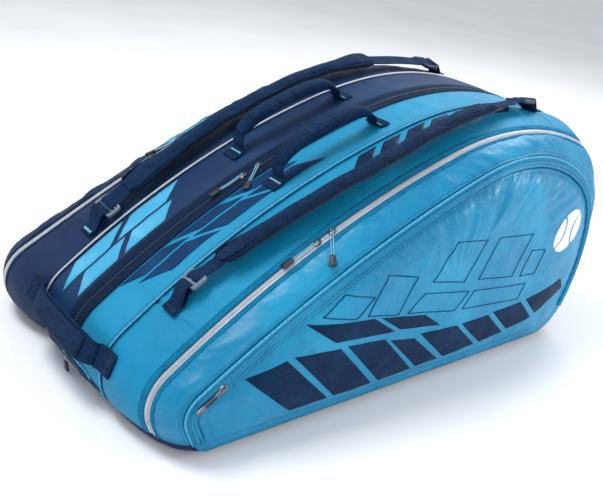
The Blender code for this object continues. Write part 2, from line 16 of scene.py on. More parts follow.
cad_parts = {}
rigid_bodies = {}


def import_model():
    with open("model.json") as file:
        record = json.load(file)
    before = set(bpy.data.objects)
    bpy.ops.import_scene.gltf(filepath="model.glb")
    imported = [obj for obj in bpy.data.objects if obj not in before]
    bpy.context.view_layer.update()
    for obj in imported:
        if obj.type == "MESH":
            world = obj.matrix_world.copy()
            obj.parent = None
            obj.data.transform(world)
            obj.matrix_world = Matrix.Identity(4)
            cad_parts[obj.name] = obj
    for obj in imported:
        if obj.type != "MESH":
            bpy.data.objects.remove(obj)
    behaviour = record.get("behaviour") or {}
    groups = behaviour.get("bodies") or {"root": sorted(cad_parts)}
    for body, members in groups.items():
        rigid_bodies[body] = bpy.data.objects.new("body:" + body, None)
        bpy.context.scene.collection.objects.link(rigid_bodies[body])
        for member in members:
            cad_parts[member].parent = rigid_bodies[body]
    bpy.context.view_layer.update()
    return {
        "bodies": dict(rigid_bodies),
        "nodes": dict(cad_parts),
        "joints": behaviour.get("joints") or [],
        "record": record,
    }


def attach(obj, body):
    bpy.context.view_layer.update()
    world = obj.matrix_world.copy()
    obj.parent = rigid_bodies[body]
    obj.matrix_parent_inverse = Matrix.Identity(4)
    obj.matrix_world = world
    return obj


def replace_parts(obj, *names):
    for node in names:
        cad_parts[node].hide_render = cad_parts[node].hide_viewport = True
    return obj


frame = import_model()

# ---------------------------------------------------------------- driving sizes, the CAD model's own

CENTRING = 0.0065
SEAM_Y = 0.082
ZIP_Y = 0.169
PANEL_Y = 0.2143
CENTRE_TAPE_HALF = 0.0157
WALL = 0.003
PIPING_R = 0.002
CORD_R = 0.0014
GAP = 0.0003

CENTRE_RADII = (0.070, 0.380, 0.070, 0.515, 1.140, 0.065, 0.022)
CENTRE_HEADINGS = (0, 70, 103, 165, 197, 219.7, 293, 360)
CENTRE_START = (-0.3485, 0.0)
PANEL_RADII = (0.059, 0.234, 0.124, 0.245, 1.620, 0.030, 0.020)
PANEL_HEADINGS = (0, 68, 101.5, 146, 200, 215.5, 293, 360)
PANEL_START = (-0.312, 0.010)
ZIP_BLEND = 0.33
INNER_BULGE = (0.125, 0.08)
OUTER_BULGE = (0.195, 0.60)

FAR_REACH = 0.022
FAR_REACH_START = -0.190
FAR_REACH_RUN = 0.155

# Stations where stretches of the outline begin and end.
ROUND = 9
HEAD_FOOT = 2.0
CREST_START = 4.0
NOSE_TOP_START = 6.0
END_POCKET_TOP = 6.6
NOSE_STRAIGHT = 7
NOSE_FOOT = 8.0
FOOT_FADE = 0.2

POCKET_INSET = 0.0125
WELT_INSET = 0.002
WELT_WIDTH = 0.010
WELT_DEPTH = 0.0025
POCKET_CENTRE = (0.03, 0.13)

ZIP_SLIDERS = {
    "near": {"narrow": (-0.160, 0), "head": (-0.140, 50)},
    "far": {"narrow": (-0.186, 0), "head": (-0.145, 16)},
}
CENTRE_SLIDERS = {"narrow": (-0.150, 0), "head": (-0.127, 35)}
POCKET_SLIDER_X = -0.306
SLIDER_LIFT = 0.0005
SLIDER_BRIDGE_Z = 0.0036
PULL_TAB = 0.014
PULL_LENGTH = {"zip": 0.050, "pocket": 0.036, "end": 0.030}
GUSSET_FALL = math.radians(15)

HANDLE_Y = 0.050
HANDLE_FEET_X = {"near": (-0.130, 0.014), "far": (-0.122, 0.034)}
HANDLE_LIFT = 0.0075
HANDLE_RISE = 0.033
GRIP_SIZE = (0.024, 0.018)

STRAP_Y = {"near": 0.112, "far": 0.102}
STRAP_BOW = {"near": 0.030, "far": 0.020}
STRAP_LOCK_X = -0.2755
STRAP_BUCKLE_X = {"near": 0.230, "far": 0.258}
STRAP_PAD_X = (-0.250, 0.150)
CUSHION_SIZE = (0.036, 0.0085)
CUSHION_BANK = {"near": math.radians(25), "far": math.radians(-12)}
CUSHION_DROP = {"near": 0.001, "far": 0.003}
STRAP_LIFT = 0.0185
STRAP_ARCH = 0.004
STRAP_BANK = math.radians(12)
LOCK_SIZE = (0.022, 0.036, 0.005)
BUCKLE_SIZE = (0.030, 0.034, 0.006)
BUCKLE_RIM = 0.0045
ANCHOR_LENGTH = 0.026
ANCHOR_GAP = 0.010
WEBBING = (0.025, 0.0022)
BUCKLE_LIFT = STRAP_LIFT - 0.003
BUCKLE_CORNER = 0.0032
ANCHOR_LIFT = 0.0044

SIDES = (("near", -1), ("far", 1))
THREADS = {"near": "stitch_teal", "far": "stitch_navy"}

# ---------------------------------------------------------------- camera, floor and light

CAMERA_PLACE = (-0.7327, -0.7942, 0.5935)
CAMERA_AZIMUTH = math.radians(-41.66)
CAMERA_ELEVATION = math.radians(24.62)
CAMERA_ROLL = math.radians(8.83)
CAMERA_LENS = 49.137


def camera():
    """Looks down along the bag from beyond its narrow end."""
    data = bpy.data.cameras.new("camera")
    data.lens = CAMERA_LENS
    data.sensor_width = 36
    obj = bpy.data.objects.new("camera", data)
    level = math.cos(CAMERA_ELEVATION)
    east = -math.sin(CAMERA_AZIMUTH) * level
    north = math.cos(CAMERA_AZIMUTH) * level
    forward = Vector((east, north, -math.sin(CAMERA_ELEVATION)))
    turn = forward.to_track_quat("-Z", "Y").to_matrix() @ Matrix.Rotation(CAMERA_ROLL, 3, "Z")
    obj.matrix_world = Matrix.Translation(CAMERA_PLACE) @ turn.to_4x4()
    bpy.context.scene.collection.objects.link(obj)
    bpy.context.scene.camera = obj


def softbox(name, place, target, size, power):
    data = bpy.data.lights.new(name, "AREA")
    data.shape = "RECTANGLE"
    data.size, data.size_y = size
    data.energy = power
    obj = bpy.data.objects.new(name, data)
    obj.location = place
    obj.rotation_euler = (Vector(target) - Vector(place)).to_track_quat("-Z", "Y").to_euler()
    bpy.context.scene.collection.objects.link(obj)


def stage():
    """A pale floor under an even, bright surround, with four soft lights."""
    world = bpy.data.worlds.new("surround")
    world.use_nodes = True
    world.node_tree.nodes["Background"].inputs["Color"].default_value = (0.93, 0.96, 1.0, 1)
    world.node_tree.nodes["Background"].inputs["Strength"].default_value = 0.62
    bpy.context.scene.world = world
    bpy.context.scene.view_settings.view_transform = "Standard"
    mesh = bpy.data.meshes.new("floor")
    half = 6.0
    corners = [(-half, -half, 0), (half, -half, 0), (half, half, 0), (-half, half, 0)]
    mesh.from_pydata(corners, [], [(0, 1, 2, 3)])
    look = Look("floor", (246, 247, 249), 0.75)
    look.mottle((240, 242, 245), 3)
    mesh.materials.append(look.done())
    floor = bpy.data.objects.new("floor", mesh)
    bpy.context.scene.collection.objects.link(floor)
    middle = (0, 0, 0.15)
    softbox("key", (-0.9, 0.5, 2.3), middle, (1.0, 0.7), 36)
    softbox("side", (-0.9, -2.1, 1.3), middle, (0.9, 0.6), 10)
    softbox("front", (1.6, -1.5, 0.9), (0.1, -0.2, 0.18), (0.5, 0.4), 19)
    softbox("back", (1.6, 0.6, 1.6), middle, (1.0, 0.8), 17)


# ---------------------------------------------------------------- materials


def linear(colour):
    """A colour given in screen levels from 0 to 255, as the shader's linear values."""
    return (*[(c / 255 / 12.92) if c <= 10 else ((c / 255 + 0.055) / 1.055) ** 2.4 for c in colour], 1)


class Look:
    """One procedural material, built up a layer at a time."""

    def __init__(self, name, colour, roughness, metallic=0.0):
        self.material = bpy.data.materials.new(name)
        self.material.use_nodes = True
        self.tree = self.material.node_tree
        self.shader = self.tree.nodes["Principled BSDF"]
        self.place = self.tree.nodes.new("ShaderNodeTexCoord").outputs["Object"]
        self.colour = linear(colour)
        self.rough = roughness
        self.normal = None
        self.shader.inputs["Metallic"].default_value = metallic

    def put(self, node_input, value):
        if isinstance(value, bpy.types.NodeSocket):
            self.tree.links.new(value, node_input)
        else:
            node_input.default_value = value

    def stretched(self, stretch):
        node = self.tree.nodes.new("ShaderNodeMapping")
        node.inputs["Scale"].default_value = stretch
        self.put(node.inputs["Vector"], self.place)
        return node.outputs["Vector"]

    def noise(self, scale, detail=3.0, stretch=(1, 1, 1)):
        node = self.tree.nodes.new("ShaderNodeTexNoise")
        node.inputs["Scale"].default_value = scale
        node.inputs["Detail"].default_value = detail
        self.put(node.inputs["Vector"], self.stretched(stretch))
        return node.outputs["Fac"]

    def cells(self, scale):
        node = self.tree.nodes.new("ShaderNodeTexVoronoi")
        node.inputs["Scale"].default_value = scale
        self.put(node.inputs["Vector"], self.place)
        return node.outputs["Distance"]

    def wave(self, scale, axis):
        node = self.tree.nodes.new("ShaderNodeTexWave")
        node.bands_direction = axis
        node.inputs["Scale"].default_value = scale
        self.put(node.inputs["Vector"], self.place)
        return node.outputs["Fac"]

    def maths(self, kind, a, b):
        node = self.tree.nodes.new("ShaderNodeMath")
        node.operation = kind
        self.put(node.inputs[0], a)
        self.put(node.inputs[1], b)
        return node.outputs[0]

    def ranged(self, value, low, high, to_low=0.0, to_high=1.0):
        node = self.tree.nodes.new("ShaderNodeMapRange")
        for key, number in (("From Min", low), ("From Max", high), ("To Min", to_low), ("To Max", to_high)):
            node.inputs[key].default_value = number
        self.put(node.inputs["Value"], value)
        return node.outputs["Result"]

    def tint(self, colour, share):
        """Mixes a colour in by a share that varies over the surface."""
        node = self.tree.nodes.new("ShaderNodeMix")
        node.data_type = "RGBA"
        self.put(node.inputs[0], share)
        self.put(node.inputs[6], self.colour)
        self.put(node.inputs[7], linear(colour))
        self.colour = node.outputs[2]
        return self

    def mottle(self, colour, scale, low=0.35, high=0.70, stretch=(1, 1, 1)):
        return self.tint(colour, self.ranged(self.noise(scale, stretch=stretch), low, high))

    def worn(self, colour):
        """Lightens the sharp outer edges."""
        edges = self.tree.nodes.new("ShaderNodeNewGeometry").outputs["Pointiness"]
        return self.tint(colour, self.ranged(edges, 0.52, 0.60, 0.0, 0.7))

    def rub(self, spread, scale):
        """Lets the roughness vary by spread either way."""
        self.rough = self.ranged(self.noise(scale), 0.3, 0.7, self.rough - spread, self.rough + spread)
        return self

    def bump(self, height, depth, strength=1.0):
        node = self.tree.nodes.new("ShaderNodeBump")
        node.inputs["Distance"].default_value = depth
        node.inputs["Strength"].default_value = strength
        self.put(node.inputs["Height"], height)
        if self.normal:
            self.put(node.inputs["Normal"], self.normal)
        self.normal = node.outputs["Normal"]
        return self

    def weave(self, pitch, depth, strength=0.5):
        """Threads crossing on every face, whichever way it looks."""
        scale = 1 / (pitch * math.tau / 10 * math.tau)
        threads = self.maths("ADD", self.wave(scale, "X"), self.wave(scale, "Y"))
        return self.bump(self.maths("ADD", threads, self.wave(scale, "Z")), depth, strength)

    def crinkle(self, scale, depth, strength=1.0, stretch=(1, 1, 1)):
        return self.bump(self.noise(scale, 4, stretch), depth, strength)

    def sheen(self, weight, roughness, tint):
        self.shader.inputs["Sheen Weight"].default_value = weight
        self.shader.inputs["Sheen Roughness"].default_value = roughness
        self.shader.inputs["Sheen Tint"].default_value = linear(tint)
        return self

    def specular(self, level):
        self.shader.inputs["Specular IOR Level"].default_value = level
        return self

    def coat(self, weight, roughness):
        self.shader.inputs["Coat Weight"].default_value = weight
        self.shader.inputs["Coat Roughness"].default_value = roughness
        return self

    def done(self):
        self.put(self.shader.inputs["Base Color"], self.colour)
        self.put(self.shader.inputs["Roughness"], self.rough)
        if self.normal:
            self.put(self.shader.inputs["Normal"], self.normal)
        return self.material


def glossy_nylon(name, colour, light, dark, roughness=0.42):
    """Coated nylon: fine weave under a soft gloss, with small crinkles that catch the light."""
    look = Look(name, colour, roughness)
    look.mottle(light, 9, 0.45, 0.75).mottle(dark, 17, 0.52, 0.85).mottle(light, 900, 0.5, 0.9)
    look.rub(0.07, 30).crinkle(26, 0.0052).crinkle(70, 0.0016).weave(0.0011, 0.00015)
    return look.specular(0.25).coat(0.16, 0.24).done()


def plain_fabric(name, colour, light, dark, roughness=0.62, crinkle=0.0012):
    """Polyester with a visible weave and hardly any gloss."""
    look = Look(name, colour, roughness)
    look.mottle(light, 7, 0.45, 0.8).mottle(dark, 14, 0.5, 0.85).mottle(light, 1100, 0.55, 0.95)
    look.rub(0.06, 25).crinkle(38, crinkle).weave(0.0013, 0.00022, 0.6)
    return look.specular(0.2).sheen(0.04, 0.45, light).done()


def woven_band(name, colour, light, dark):
    """Webbing: thick ribs in a tight twill."""
    look = Look(name, colour, 0.72)
    look.mottle(light, 420, 0.5, 0.8).mottle(dark, 60, 0.5, 0.8)
    look.weave(0.0017, 0.0005, 0.9).crinkle(300, 0.0003)
    return look.specular(0.15).sheen(0.08, 0.4, light).done()


def ink(name, colour, light, roughness=0.5):
    """A thin printed film that lets the weave through."""
    look = Look(name, colour, roughness)
    look.mottle(light, 24, 0.5, 0.85).mottle(light, 700, 0.62, 0.95)
    return look.rub(0.06, 40).crinkle(26, 0.0040).weave(0.0011, 0.00015, 0.4).specular(0.1).done()


def thread(name, colour, light):
    look = Look(name, colour, 0.6)
    look.mottle(light, 500).crinkle(900, 0.0002)
    return look.sheen(0.3, 0.4, light).done()


def moulded(name, colour, light, roughness, metallic=0.0):
    """Moulded plastic or cast metal: fine grain, scuffed edges."""
    look = Look(name, colour, roughness, metallic)
    look.mottle(light, 45, 0.5, 0.9).worn(light).rub(0.08, 60)
    return look.crinkle(500, 0.0002).crinkle(1600, 0.0001).done()


def make_looks():
    table = (
        (glossy_nylon, "teal_gloss", (0, 126, 170), (20, 150, 192), (0, 106, 150)),
        (plain_fabric, "teal_smooth", (8, 134, 178), (32, 156, 198), (0, 116, 160), 0.44, 0.0024),
        (plain_fabric, "navy_fabric", (10, 38, 76), (22, 58, 100), (4, 24, 54), 0.56, 0.0022),
        (plain_fabric, "slate_fabric", (8, 44, 84), (22, 66, 110), (4, 30, 62), 0.54, 0.0022),
        (plain_fabric, "lining", (26, 32, 46), (42, 50, 68), (16, 21, 32), 0.7),
        (woven_band, "webbing", (0, 36, 72), (12, 66, 108), (0, 22, 50)),
        (thread, "cyan_piping", (22, 136, 182), (84, 184, 216)),
        (thread, "silver_piping", (168, 180, 196), (210, 218, 228)),
        (thread, "navy_piping", (8, 24, 54), (24, 48, 88)),
        (moulded, "silver_zip", (176, 184, 196), (226, 231, 238), 0.34, 0.25),
        (moulded, "centre_zip", (4, 26, 54), (24, 56, 94), 0.45),
        (woven_band, "zip_tape", (0, 124, 168), (22, 146, 188), (0, 102, 146)),
        (woven_band, "dark_tape", (0, 28, 60), (16, 52, 92), (0, 17, 42)),
        (thread, "cord_pull", (92, 168, 204), (156, 208, 228)),
        (moulded, "pull_tab", (4, 20, 38), (36, 56, 82), 0.42),
        (moulded, "metal", (58, 60, 68), (168, 172, 180), 0.28, 0.9),
        (moulded, "buckle", (84, 98, 120), (150, 162, 178), 0.38, 0.1),
        (moulded, "dark_buckle", (6, 20, 42), (46, 64, 94), 0.36),
        (ink, "print_navy", (0, 34, 66), (4, 50, 88)),
        (ink, "print_slate", (8, 50, 92), (24, 76, 122), 0.55),
        (ink, "print_line", (0, 66, 108), (0, 80, 124)),
        (ink, "print_pale", (70, 166, 208), (120, 194, 226), 0.5),
        (ink, "print_white", (232, 234, 244), (246, 248, 252), 0.45),
        (thread, "stitch_teal", (0, 78, 124), (20, 116, 162)),
        (thread, "stitch_navy", (0, 18, 42), (24, 48, 84)),
        (thread, "stitch_pale", (96, 186, 214), (160, 216, 234)),
    )
    looks = {name: build(name, *colours) for build, name, *colours in table}
    # The strap's underside mesh: near-black partly in its own colour and partly as painted shade for the gap
    # under the strap.
    mesh_and_shade_look = Look("strap_mesh", (9, 12, 20), 0.8).mottle((26, 32, 46), 300)
    looks["strap_mesh"] = mesh_and_shade_look.bump(mesh_and_shade_look.cells(420), 0.0012).sheen(0.3, 0.5, (60, 70, 90)).done()
    board = Look("stiffener", (66, 70, 76), 0.7).mottle((88, 92, 98), 90).mottle((48, 52, 58), 20)
    looks["stiffener"] = board.crinkle(400, 0.0004).done()
    return looks


# ---------------------------------------------------------------- the outline and what is laid on it


def chain(radii, headings, start, inset, s):
    """Points (x, z) at stations s of one closed outline of tangent arcs, drawn in by inset."""
    radii = np.array(radii) - inset
    headings = np.radians(headings)

    def out(angle):
        return np.stack([np.sin(angle), -np.cos(angle)], axis=-1)

    travel = (radii[:, None] * np.diff(out(headings), axis=0)).sum(axis=0)
    nose = np.array([math.cos(headings[-2]), math.sin(headings[-2])])
    nose_length = -travel[1] / nose[1]
    base_length = -travel[0] - nose_length * nose[0]
    here = np.array([start[0], start[1] + inset])
    s = np.asarray(s, float) % ROUND
    found = np.empty((len(s), 2))
    for stretch in range(ROUND):
        inside = (s >= stretch) & (s < stretch + 1)
        share = s[inside] - stretch
        if stretch in (0, NOSE_STRAIGHT):
            run = np.array([base_length, 0]) if stretch == 0 else nose_length * nose
            found[inside] = here + share[:, None] * run
            here = here + run
            continue
        k = stretch - 1 if stretch < NOSE_STRAIGHT else stretch - 2
        centre = here - radii[k] * out(headings[k])
        found[inside] = centre + radii[k] * out(headings[k] + share * (headings[k + 1] - headings[k]))
        here = centre + radii[k] * out(headings[k + 1])
    return found


def ease(x):
    x = np.clip(x, 0, 1)
    return x * x * (3 - 2 * x)


def skin(s, y, t, inset=0.0):
    """Points of the bag's surface: a row for each station s, a column for each distance y and blend t."""
    s, y, t = (np.atleast_1d(np.asarray(v, float)) for v in (s, y, t))
    middle = chain(CENTRE_RADII, CENTRE_HEADINGS, CENTRE_START, inset, s)[:, None]
    panel = chain(PANEL_RADII, PANEL_HEADINGS, PANEL_START, inset, s)[:, None]
    xz = middle + (panel - middle) * t[None, :, None]
    turn = s % ROUND
    foot = ease((HEAD_FOOT - turn) / FOOT_FADE) + ease((turn - NOSE_FOOT) / FOOT_FADE)
    # The base stays flat as far out as the zips.
    rise = PANEL_START[1] * (np.clip((t - ZIP_BLEND) / (1 - ZIP_BLEND), 0, None) - t)
    x = xz[..., 0]
    share = np.clip((y - SEAM_Y) / (ZIP_Y - SEAM_Y), 0, 1)
    run = np.clip((FAR_REACH_START - x) / FAR_REACH_RUN, 0, None)
    x = x - FAR_REACH * share * run * run + CENTRING
    return np.stack([x, np.broadcast_to(y, x.shape), xz[..., 1] + np.outer(foot, rise)], axis=-1)


def lengths(points):
    steps = np.linalg.norm(np.diff(points, axis=0), axis=1)
    return np.concatenate([[0], np.cumsum(steps)])


def stations(first, last, spacing, t=0.15):
    """Stations evenly spaced along the outline."""
    fine = np.linspace(first, last, 2400)
    run = lengths(skin(fine, 0, t)[:, 0])
    return np.interp(np.linspace(0, run[-1], max(3, round(run[-1] / spacing)) + 1), run, fine)


def curve_through(x, xs, ys):
    """A smooth curve through a few (xs, ys) pairs."""
    xs, ys = np.array(xs, float), np.array(ys, float)
    slopes = np.gradient(ys, xs)
    k = np.clip(np.searchsorted(xs, x) - 1, 0, len(xs) - 2)
    h = xs[k + 1] - xs[k]
    u = np.clip((x - xs[k]) / h, 0, 1)
    low = ys[k] * (1 + 2 * u) * (1 - u) ** 2 + ys[k + 1] * u * u * (3 - 2 * u)
    return low + h * u * (1 - u) * (slopes[k] * (1 - u) - slopes[k + 1] * u)


def blend_at(y):
    """The blend between the middle outline and the side panel's at a distance y from the middle plane."""
    places = (0, SEAM_Y, INNER_BULGE[0], ZIP_Y, OUTER_BULGE[0], PANEL_Y)
    blends = (0, 0, INNER_BULGE[1], ZIP_BLEND, OUTER_BULGE[1], 1)
    y = np.abs(np.atleast_1d(np.asarray(y, float)))
    return np.where(y <= SEAM_Y, 0.0, np.clip(curve_through(y, places, blends), 0, 1))


def station_at(x, y=0.0, t=0.0, inset=0.0):
    """The station on the bag's top where the drawn outline has this x."""
    fine = np.linspace(CREST_START, NOSE_TOP_START, 1200)
    xs = skin(fine, y, t, inset)[:, 0, 0] - CENTRING
    return float(np.interp(-x, -xs, fine))


def noisy(points, scale, seed, stretch=(1, 1, 1)):
    """Smooth noise from -1 to 1 at each point."""
    flat = np.asarray(points, float).reshape(-1, 3) * np.array(stretch) * scale
    shift = Vector((seed * 3.17, seed * 1.93, seed * 2.71))
    values = [noise.noise(Vector(p) + shift) for p in flat]
    return np.array(values).reshape(np.shape(points)[:-1])


def unit(vectors):
    return vectors / np.maximum(np.linalg.norm(vectors, axis=-1, keepdims=True), 1e-12)


BAG_MIDDLE = np.array([CENTRING, 0, 0.12])


class Cloth:
    """A piece of cloth on a grid: rows run along the outline, columns across the bag."""

    def __init__(self, points, flat=False):
        self.points = points
        self.along = lengths(points[:, points.shape[1] // 2])
        self.across = lengths(points[points.shape[0] // 2])
        self.flat = flat
        self.refresh()

    def refresh(self):
        """Finds the normals, turned away from the bag's long axis, or for a flat cloth from its middle."""
        normals = unit(np.cross(np.gradient(self.points, axis=1), np.gradient(self.points, axis=0)))
        outward = (self.points - BAG_MIDDLE) * (1, 1 if self.flat else 0, 1)
        self.normals = -normals if float((normals * outward).sum()) < 0 else normals

    def push(self, height):
        self.points = self.points + self.normals * height[..., None]
        self.refresh()
        return self

    def edge_distance(self):
        """How far each column is from the nearer long edge."""
        return np.minimum(self.across, self.across[-1] - self.across)[None, :]

    def at(self, along, across, lift=0.0):
        """Points and normals at places on the cloth."""
        rows, columns = len(self.along), len(self.across)
        i = np.clip(np.interp(along, self.along, np.arange(rows)), 0, rows - 1.0001)
        j = np.clip(np.interp(across, self.across, np.arange(columns)), 0, columns - 1.0001)
        i0, j0 = i.astype(int), j.astype(int)
        u, v = (i - i0)[..., None], (j - j0)[..., None]

        def mix(grid):
            low = grid[i0, j0] * (1 - v) + grid[i0, j0 + 1] * v
            return low * (1 - u) + (grid[i0 + 1, j0] * (1 - v) + grid[i0 + 1, j0 + 1] * v) * u

        normals = unit(mix(self.normals))
        return mix(self.points) + normals * lift, normals

    def along_at(self, x):
        """Where along the cloth the top of the bag passes a drawn x."""
        line = self.points[:, self.points.shape[1] // 2]
        top = line[:, 2] > 0.10
        return float(np.interp(-x - CENTRING, -line[top, 0], self.along[top]))


# ---------------------------------------------------------------- making pieces

LOOKS = make_looks()


def piece(name, points, faces, look, body):
    """A smooth mesh that rides on a body, with its look as its material."""
    mesh = bpy.data.meshes.new(name)
    points = np.asarray(points, float).reshape(-1, 3)
    mesh.from_pydata(points.tolist(), [], [tuple(map(int, f)) for f in faces])
    mesh.validate()
    mesh.shade_smooth()
    mesh.materials.append(LOOKS[look])
    obj = bpy.data.objects.new(name, mesh)
    bpy.context.scene.collection.objects.link(obj)
    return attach(obj, body)


def closed_up(obj):
    """Turns the faces of a closed mesh outwards."""
    bm = bmesh.new()
    bm.from_mesh(obj.data)
    bmesh.ops.recalc_face_normals(bm, faces=bm.faces)
    bm.to_mesh(obj.data)
    bm.free()
    return obj


def thicken(obj, thickness, offset=-1.0):
    modifier = obj.modifiers.new("thickness", "SOLIDIFY")
    modifier.thickness = thickness
    modifier.offset = offset
    return obj


def grid_faces(rows, columns, wrap=False):
    """Faces between the points of a grid, closed into a tube if it wraps."""
    faces = []
    for r in range(rows - 1):
        for c in range(columns if wrap else columns - 1):
            n = (c + 1) % columns
            faces.append((r * columns + c, (r + 1) * columns + c, (r + 1) * columns + n, r * columns + n))
    return faces


def bowl_faces(rings, count):
    """Faces between rings of count points each, closed by a fan to the one point after them."""
    last = count * (rings - 1)
    fan = [(last + k, last + (k + 1) % count, last + count) for k in range(count)]
    return grid_faces(rings, count, wrap=True) + fan


def cloth_piece(name, cloth, look, body, thickness=WALL):
    rows, columns = cloth.points.shape[:2]
    obj = piece(name, cloth.points, grid_faces(rows, columns), look, body)
    if np.dot(obj.data.polygons[0].normal, cloth.normals[0, 0]) < 0:
        obj.data.flip_normals()
    return thicken(obj, thickness)


def rings_piece(name, rings, look, body, capped=True, sharp=None):
    """A closed body from rings of points, capped at both ends, or closed into a hoop."""
    rings = [np.asarray(ring, float) for ring in rings]
    count = len(rings[0])
    points = np.concatenate(rings)
    faces = grid_faces(len(rings), count, wrap=True)
    if capped:
        faces += [tuple(range(count)), tuple(range(len(points) - count, len(points)))]
    else:
        last = len(points) - count
        faces += [(last + k, k, (k + 1) % count, last + (k + 1) % count) for k in range(count)]
    obj = closed_up(piece(name, points, faces, look, body))
    if sharp:
        obj.data.set_sharp_from_angle(angle=math.radians(sharp))
    return obj


def joined(name, parts):
    """Several objects made into one piece."""
    first = parts[0]
    with bpy.context.temp_override(active_object=first, selected_editable_objects=parts):
        bpy.ops.object.join()
    first.name = name
    return first


def round_section(width, height, sides=16, power=0.6):
    """The outline of a rounded bar: an ellipse for a power of 1, nearer to a box for less."""
    angle = math.tau * (np.arange(sides) + 0.5) / sides
    c, s = np.cos(angle), np.sin(angle)
    x = np.sign(c) * abs(c) ** power * width / 2
    y = np.sign(s) * abs(s) ** power * height / 2
    return np.stack([x, y], axis=-1)


def sweep_rings(frames, sections):
    """Each section laid out at its frame."""
    rings = []
    for (p, side, up), section in zip(frames, sections):
        rings.append(p + np.outer(section[:, 0], side) + np.outer(section[:, 1], up))
    return rings


def path_frames(points, up=(0, 0, 1)):
    """Frames carried along a path without twist, the first with its up as near as can be to up."""
    points = np.asarray(points, float)
    tangents = unit(np.gradient(points, axis=0))
    frames = []
    up = np.asarray(up, float)
    for p, tangent in zip(points, tangents):
        up = unit(up - tangent * np.dot(up, tangent))
        frames.append((p, np.cross(tangent, up), up))
    return frames


def tube(name, points, radius, look, body, sides=10):
    """A round cord along points, drawn in at both ends."""
    section = round_section(2 * radius, 2 * radius, sides, 1.0)
    frames = path_frames(points, (0, 1, 0.3))
    sections = [section * 0.6] + [section] * (len(frames) - 2) + [section * 0.6]
    return rings_piece(name, sweep_rings(frames, sections), look, body)


def cut_out(outline, a_cuts, b_cuts):
    """A flat convex shape cut along grid lines: its points as (a, b) pairs, and its faces."""
    bm = bmesh.new()
    bm.faces.new([bm.verts.new((a, b, 0)) for a, b in outline])
    for axis, cuts in enumerate((a_cuts, b_cuts)):
        values = [p[axis] for p in outline]
        normal = Vector((axis == 0, axis == 1, 0))
        for cut in cuts:
            if min(values) < cut < max(values):
                geometry = bm.verts[:] + bm.edges[:] + bm.faces[:]
                on = normal * float(cut)
                bmesh.ops.bisect_plane(bm, geom=geometry, dist=1e-7, plane_co=on, plane_no=normal)
    bm.verts.index_update()
    points = np.array([v.co[:2] for v in bm.verts])
    faces = [[v.index for v in face.verts] for face in bm.faces]
    bm.free()
    return points, faces


def applique(name, shapes, surface, cuts, look, body):
    """Flat shapes printed on a surface, which gives (points, normals) for (a, b) places and a lift."""
    points, faces, facing = [], [], np.zeros(3)
    for shape in shapes:
        places, found = cut_out(shape, *cuts)
        on, normals = surface(places[:, 0], places[:, 1], PRINT_LIFT)
        start = sum(len(p) for p in points)
        points.append(on)
        facing = facing + normals.sum(axis=0)
        area = sum(np.cross(on[f[1]] - on[f[0]], on[f[2]] - on[f[0]]) for f in found)
        turned = np.dot(area, normals.sum(axis=0)) < 0
        faces += [[start + i for i in (f[::-1] if turned else f)] for f in found]
    return thicken(piece(name, np.concatenate(points), faces, look, body), PRINT_LIFT * 0.9)


PRINT_LIFT = 0.0006
STITCH = (0.0026, 0.0007, 0.0005)
STITCH_PITCH = 0.0038
BEAD_CORNERS = ((-0.5, 0), (0.5, 0), (0.3, 1), (-0.3, 1))
TACK_REACH = 0.0022
TACK_PITCH = 0.0012


def beads(name, lines, profile, pitch, look, body, phase=0.5, crosswise=False):
    """Small closed bodies set at even steps along lines of (points, normals). The profile gives each one's
    sections as (reach, width, height); crosswise ones reach to the side of the line and not along it."""
    points, faces = [], []
    for line, normals in lines:
        run = lengths(line)
        spots = (np.arange(int(run[-1] / pitch)) + phase) * pitch
        here = np.stack([np.interp(spots, run, line[:, i]) for i in range(3)], axis=-1)
        ahead = np.stack([np.interp(spots + pitch / 4, run, line[:, i]) for i in range(3)], axis=-1)
        ups = unit(np.stack([np.interp(spots, run, normals[:, i]) for i in range(3)], axis=-1))
        tangents = unit(ahead - here)
        sides = np.cross(ups, tangents)
        if crosswise:
            tangents, sides = sides, tangents
        for p, along, side, up in zip(here, tangents, sides, ups):
            start = len(points)
            for reach, width, height in profile:
                middle = p + along * reach
                points += [middle + side * w * width + up * h * height for w, h in BEAD_CORNERS]
            last = start + 4 * (len(profile) - 1)
            faces += [tuple(start + i for i in f) for f in grid_faces(len(profile), 4, wrap=True)]
            faces += [(start, start + 1, start + 2, start + 3), (last + 3, last + 2, last + 1, last)]
    return closed_up(piece(name, points, faces, look, body))


def stitches(name, lines, look, body, pitch=STITCH_PITCH):
    """Running stitches, sunk a little at both ends."""
    long, wide, high = STITCH
    sunk, proud = (wide / 2, -high / 3), (wide, high)
    profile = [(-long / 2, *sunk), (-long / 4, *proud), (long / 4, *proud), (long / 2, *sunk)]
    return beads(name, lines, profile, pitch, look, body)


def bartack(name, lines, look, body):
    """Dense cross stitches that lock the end of a strap."""
    profile = [(-TACK_REACH, 0.0005, 0), (0, 0.0009, 0.0007), (TACK_REACH, 0.0005, 0)]
    return beads(name, lines, profile, TACK_PITCH, look, body, crosswise=True)


def line_on(cloth, across, lift=0.0, first=0.0, last=None):
    """A line along a cloth at a distance across it."""
    along = np.linspace(first, cloth.along[-1] if last is None else last, 400)
    return cloth.at(along, np.full(len(along), across), lift)


def cross_line_on(cloth, along, first, last):
    """A line across a cloth."""
    across = np.linspace(first, last, 60)
    return cloth.at(np.full(len(across), along), across)


def strip_on(name, cloth, first, last, height, look, body):
    """A narrow tape sewn along a cloth, with a low crown."""
    share = np.linspace(0, 1, 6)
    along, across = np.meshgrid(cloth.along, first + (last - first) * share, indexing="ij")
    points, normals = cloth.at(along, across)
    lift = height * (0.55 + 0.45 * np.sin(math.pi * share))
    tape = Cloth(points + normals * lift[None, :, None])
    cloth_piece(name, tape, look, body, height)
    return tape


# ---------------------------------------------------------------- gussets and base

